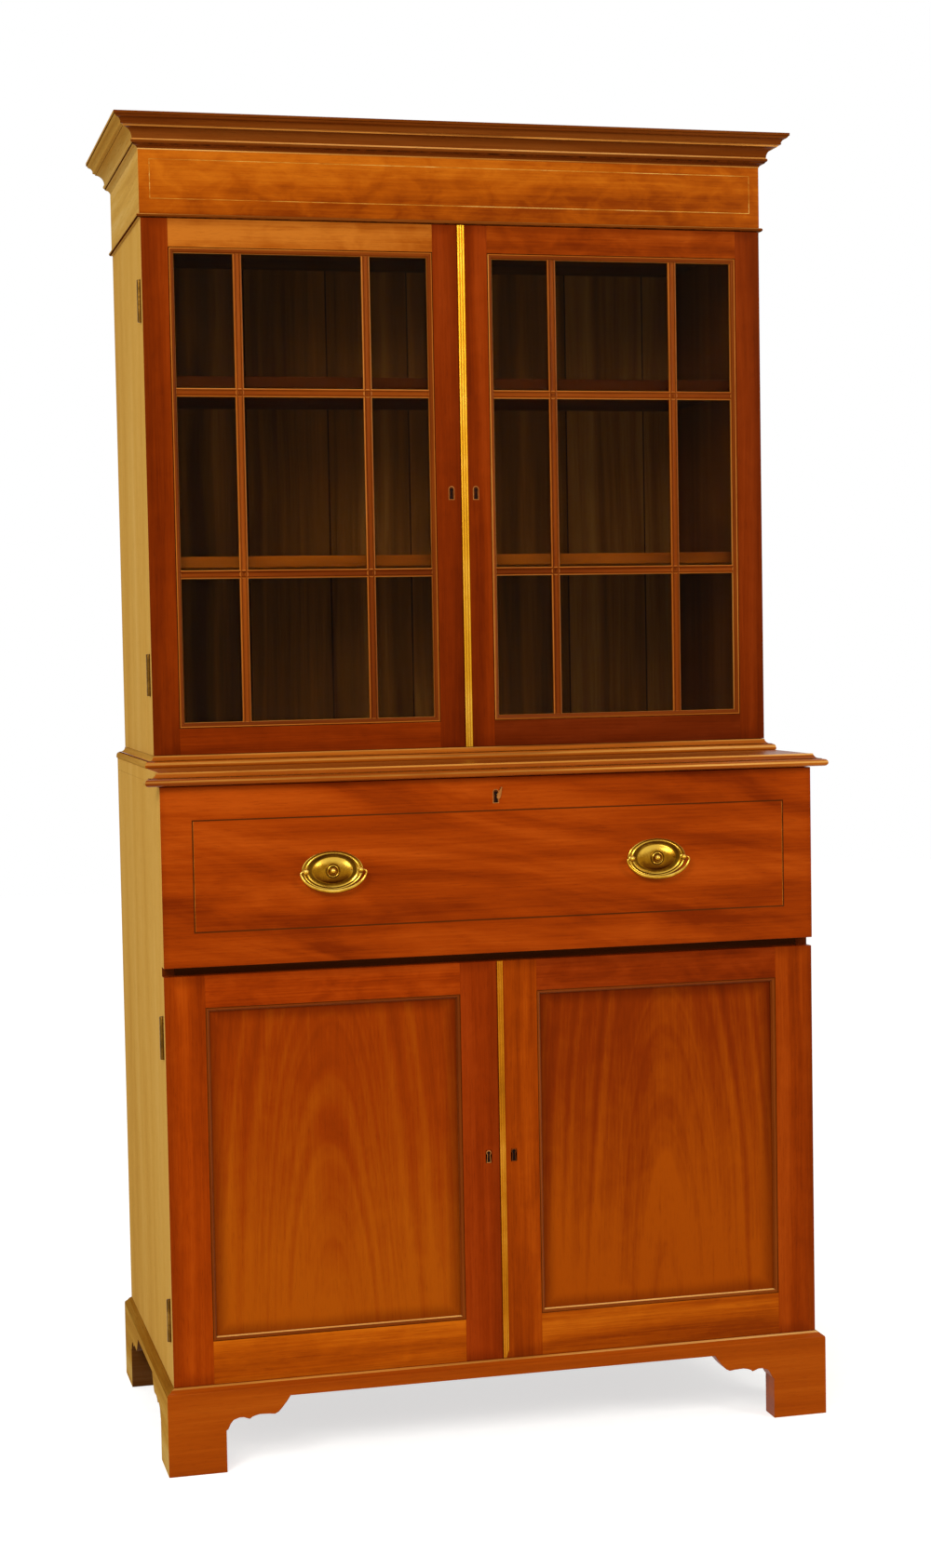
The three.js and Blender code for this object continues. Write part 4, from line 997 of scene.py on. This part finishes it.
def keyhole(name, body, spot, board, arched):
    if arched:
        lining(name + "_rim", body, thread_brass, spot, arch, arch_inside, 0.16)
        lining(name + "_plate", body, plate_brass, spot, arch_inside, key_slot, 0.05)
    else:
        metal = thread_brass if "left" in name else plate_brass
        lining(name + "_filling", body, board, spot, arch, thread, 0.0)
        lining(name + "_thread", body, metal, spot, thread, key_slot, 0.2)
    x, face, foot = spot
    lock = plain_board(x - 3.4, x + 3.4, face + 2.6, face + 6, foot + 0.4, foot + 21.4)
    ease(lock, 0.4)
    fit(lock, name + "_lock", body, "brass", lock_iron)


for tier, hand, way in doors:
    face = extent(f"{tier}_door_frame_{hand}")[2]
    x, foot = (20.8, 1531.1) if tier == "upper" else (21, 458.6)
    board = bpy.data.materials[f"{tier}_{hand}_meeting_stile"]
    keyhole(
        f"{tier}_keyhole_{hand}", f"{tier}_door_{hand}", (x * way, face, foot), board,
        tier == "upper",
    )


# Fall front of the secretaire drawer: one wide board faced with figured mahogany, its
# grain running level, with a line of dark stringing set in from the edges. It hangs on
# two hinges at its foot and is held level by quadrant stays.
x0, x1, fall_face, _, z0, z1 = extent("fall_front")
fall_wood = wood(
    "flame_fall", *tones(154, 55, 3), grain="XZ", seed=41.0, band=6, bands=0.5, lines=20,
    line=0.25, flame=1.0, flame_size=2.2, slant=0.18, shade=(x0, x1, z0, z1, 12, 0.22),
)
finished_board(
    "fall_front", "fall", "flame_mahogany", fall_wood, 1.0,
    (side_wood, lambda face: abs(face.normal.x) > 0.7),
)
dark_line = wood(
    "dark_string", *tones(84, 34, 6), grain="XZ", turns="XZ", band=20, bands=0.6, line=0.0,
    seed=42.0,
)
string_ring(
    "fall_string", "fall", "flame_mahogany", dark_line, "fall_front", (51, 55.5, 54.5), 2.3,
)
light_line = wood(
    "light_string", *tones(190, 104, 26), grain="XZ", turns="XZ", band=20, line=0.0, seed=43.0,
)
string_ring(
    "fall_string_edge", "fall", "flame_mahogany", light_line, "fall_front", (51.5, 55, 54), 0.5,
    0.08,
)
keyhole("fall_keyhole", "fall", (0, fall_face, z0 + 240.1), fall_wood, True)
for node in ("quadrant_stay_left", "quadrant_stay_right"):
    finished_board(node, "fall", "brass", hinge_brass, 0.3)
for node in ("fall_hinge_left", "fall_hinge_right"):
    finished_board(node, "drawer", "brass", hinge_brass, 0.2)
cover = board_of("key_cover")
soften(cover)
ease(cover, 0.12)
fit(cover, "key_cover_flap", "key_cover", "brass", thread_brass, stands_for=["key_cover"])


# Handles: an oval plate stamped from sheet brass with a rolled rim and a dished middle,
# a ring and knob at the centre, two turned posts, and a bail that tapers to its ends.
# The last number of each is how much painted light and shade it takes by the way a face looks, most
# on the plate.
handle_brass = brass("handle_brass", (88, 49, 5), (147, 98, 14), (214, 170, 62), 0.24, 24.0, 1.1)
channel_brass = brass("channel_brass", (48, 25, 4), (90, 56, 7), (142, 100, 24), 0.34, 40.0, 0.6)
rubbed_brass = brass(
    "rubbed_brass", (120, 72, 9), (192, 140, 32), (236, 196, 90), 0.18, 30.0, 0.45,
)
round_plate = 40  # its radius as turned, before it is pressed to an oval
post_x, post_out = 43.75, 11


def turned(points, steps, x=0):
    """Turned about a line that stands straight out from the fall."""
    return spun(rounded(points), Vector((x / 1000, 0, 0)), (0, -1, 0), steps)


def from_centre(spot):
    return Vector((spot.x, spot.z)).length, 0


def oval_plate(hand, centre, oval):
    dish = turned([
        (0, 4.4), (11, 4.3), (15, 4.0), (18.5, 3.3), (21.5, 2.4), (24.5, 1.2), (26.6, 0.5),
        (30.6, 0.4), (31.8, 1.0), (33.6, 2.1, -0.3), (38.6, 2.4), (39.7, 1.4), (round_plate, 0),
    ], 64)
    touch(dish, 1, from_centre, (26.0, 32.6, -1, 1))
    bmesh.ops.scale(dish, vec=oval, verts=dish.verts)
    boss = turned([
        (0, 4.2), (5.6, 4.3), (7.4, 5.4, -0.3), (10.6, 5.8), (11.8, 4.8), (12.0, 3.0),
    ], 40)
    touch(boss, 1, from_centre, (0, 6.4, -1, 1), (11, 13, -1, 1))
    knob = turned([
        (2.4, 1.6), (2.0, 3.2), (2.0, 4.8), (2.6, 5.0, -0.34), (3.2, 11.5, -0.14), (0, 12.9),
    ], 24)
    posts = [turned([
        (3.6, 1.0), (3.6, 2.4), (2.5, 3.2), (2.3, 7.0), (2.6, 7.9, -0.36), (2.8, 13.5, -0.12),
        (0, 14.8),
    ], 20, x) for x in (-post_x, post_x)]
    for part in (knob, *posts):
        for face in part.faces:
            face.material_index = 2
    whole = merged(dish, boss, knob, *posts)
    bmesh.ops.translate(whole, vec=centre, verts=whole.verts)
    fit(
        whole, f"oval_plate_{hand}", "fall", "brass", handle_brass, channel_brass, rubbed_brass,
        stands_for=[f"handle_plate_{hand}"],
    )


def bail(hand, centre):
    """A bow that is bridged from ring to ring along its line: across, up and radius."""
    path = [
        (-44.2, 0, 1.4), (-46.8, 0.5, 1.4), (-49.2, 0.5, 1.4), (-51.0, -0.4, 1.4),
        (-52.2, -1.9, 1.45), (-52.7, -3.8, 1.5),
    ]
    ends, steps = len(path), 36
    for n in range(2, steps - 1):
        turn = math.pi * n / steps
        path.append((
            -52.8 * math.cos(turn), -31.6 * math.sin(turn), 1.45 + 1.95 * math.sin(turn) ** 1.6,
        ))
    path += [(-u, v, r) for u, v, r in reversed(path[:ends])]
    bm = bmesh.new()
    rings = []
    for n, (u, v, radius) in enumerate(path):
        before, after = path[max(n - 1, 0)], path[min(n + 1, len(path) - 1)]
        way = Vector((after[0] - before[0], 0, after[1] - before[1])).normalized()
        turn = Vector((0, 0, 1)).rotation_difference(way).to_matrix().to_4x4()
        spot = centre + Vector((u, -post_out, v)) / 1000
        made = bmesh.ops.create_circle(
            bm, cap_ends=n in (0, len(path) - 1), segments=14, radius=radius / 1000,
            matrix=Matrix.Translation(spot) @ turn,
        )
        rings.append(list(dict.fromkeys(
            e for vert in made["verts"] for e in vert.link_edges if len(e.link_faces) < 2
        )))
    for one, other in zip(rings, rings[1:]):
        bmesh.ops.bridge_loops(
            bm, edges=[e for e in one + other if all(len(v.link_edges) < 5 for v in e.verts)],
        )
    bmesh.ops.recalc_face_normals(bm, faces=bm.faces)
    soften(bm, 50)
    fit(
        bm, f"bail_bow_{hand}", f"bail_{hand}", "brass", rubbed_brass, stands_for=[f"bail_{hand}"],
    )


for hand in ("left", "right"):
    x0, x1, _, _, z0, z1 = extent(f"handle_plate_{hand}")
    centre = at((x0 + x1) / 2, fall_face, (z0 + z1) / 2)
    oval_plate(hand, centre, Vector((x1 - x0, 2 * round_plate, z1 - z0)) / 2 / round_plate)
    bail(hand, centre)


# Secretaire drawer: the box behind the fall, in plain unpolished wood, with a block of
# pigeonholes standing at the back of the writing surface.
fitment_wood = wood("fitment_wood", *tones(160, 104, 44), grain="XZ", seed=51.0, rough=0.45)
drawer_end = wood(
    "drawer_side_wood", *tones(144, 98, 48), grain="YZ", seed=52.0, gloss=0.05, rough=0.6,
)
desk_wood = wood("writing_surface", *tones(138, 66, 12), grain="XY", seed=53.0)
for node, finish, width in (
    ("drawer_side_left", drawer_end, 0.6), ("drawer_side_right", drawer_end, 0.6),
    ("drawer_back", fitment_wood, 0.6), ("drawer_bottom", desk_wood, 0.4),
    ("pigeonholes", fitment_wood, 0.8),
):
    finished_board(node, "drawer", "inside_wood", finish, width)


# The room: a pale floor that fades to white, an even soft light from all round, two large
# soft lamps to the left and right, and a smaller one that picks out the mouldings.
def seen_rays(tree):
    """1 where the camera sees, straight or in a polished face or through the glass."""
    path = add(tree, "LightPath").outputs
    bent = reckon(tree, "MAXIMUM", path["Is Glossy Ray"], path["Is Transmission Ray"])
    return reckon(tree, "MAXIMUM", path["Is Camera Ray"], bent)


floor = bmesh.new()
bmesh.ops.create_grid(floor, x_segments=1, y_segments=1, size=9)
floor_mesh = bpy.data.meshes.new("floor")
floor.to_mesh(floor_mesh)
floor.free()
paper = mottled("pale_floor", 40.0, (0.3, 0.7), (228, 227, 222), (236, 235, 230), 0.9)
tree = paper.node_tree
shader = tree.nodes["Principled BSDF"]
shader.inputs["Emission Color"].default_value = (1, 1, 1, 1)
reach = add(
    tree, "VectorMath", {0: add(tree, "TexCoord").outputs["Object"]}, operation="LENGTH",
).outputs["Value"]
glow = between(tree, risen(tree, reach, 0.9, 2.4), 0.63, 0.67)
tree.links.new(
    reckon(tree, "MULTIPLY", seen_rays(tree), glow), shader.inputs["Emission Strength"],
)
floor_mesh.materials.append(paper)
floor_piece = bpy.data.objects.new("floor", floor_mesh)
bpy.context.scene.collection.objects.link(floor_piece)

world = bpy.data.worlds.new("soft_room")
world.use_nodes = True
bpy.context.scene.world = world
tree = world.node_tree
sky = tree.nodes["Background"]
sky.inputs["Color"].default_value = (1, 1, 1, 1)
tree.links.new(between(tree, seen_rays(tree), 0.5, 1.0), sky.inputs["Strength"])

aim = Vector((0, 0, 1.1))
for name, spot, power, size in (
    ("key_lamp", (-2.6, -3.4, 3.3), 84, 1.6),
    ("fill_lamp", (2.9, -3.3, 2.4), 44, 1.4),
    ("front_lamp", (-1.7, -4.5, 3.0), 26, 0.8),
):
    lamp = bpy.data.lights.new(name, "AREA")
    lamp.energy, lamp.shape, lamp.size = power, "DISK", size
    stand = bpy.data.objects.new(name, lamp)
    stand.location = spot
    stand.rotation_euler = (aim - Vector(spot)).to_track_quat("-Z", "Y").to_euler()
    bpy.context.scene.collection.objects.link(stand)

pan, tilt, roll = (math.radians(turn) for turn in (-14.14, 90 - 3.29, -1.03))
camera = bpy.data.cameras.new("camera")
camera.sensor_fit, camera.sensor_height, camera.lens = "VERTICAL", 36, 57.13
viewpoint = bpy.data.objects.new("camera", camera)
viewpoint.matrix_world = (
    Matrix.Translation((-1.0155, -4.1137, 1.2982)) @ Matrix.Rotation(pan, 4, "Z")
    @ Matrix.Rotation(tilt, 4, "X") @ Matrix.Rotation(roll, 4, "Z")
)
bpy.context.scene.collection.objects.link(viewpoint)
bpy.context.scene.camera = viewpoint
bpy.context.scene.view_settings.view_transform = "Standard"
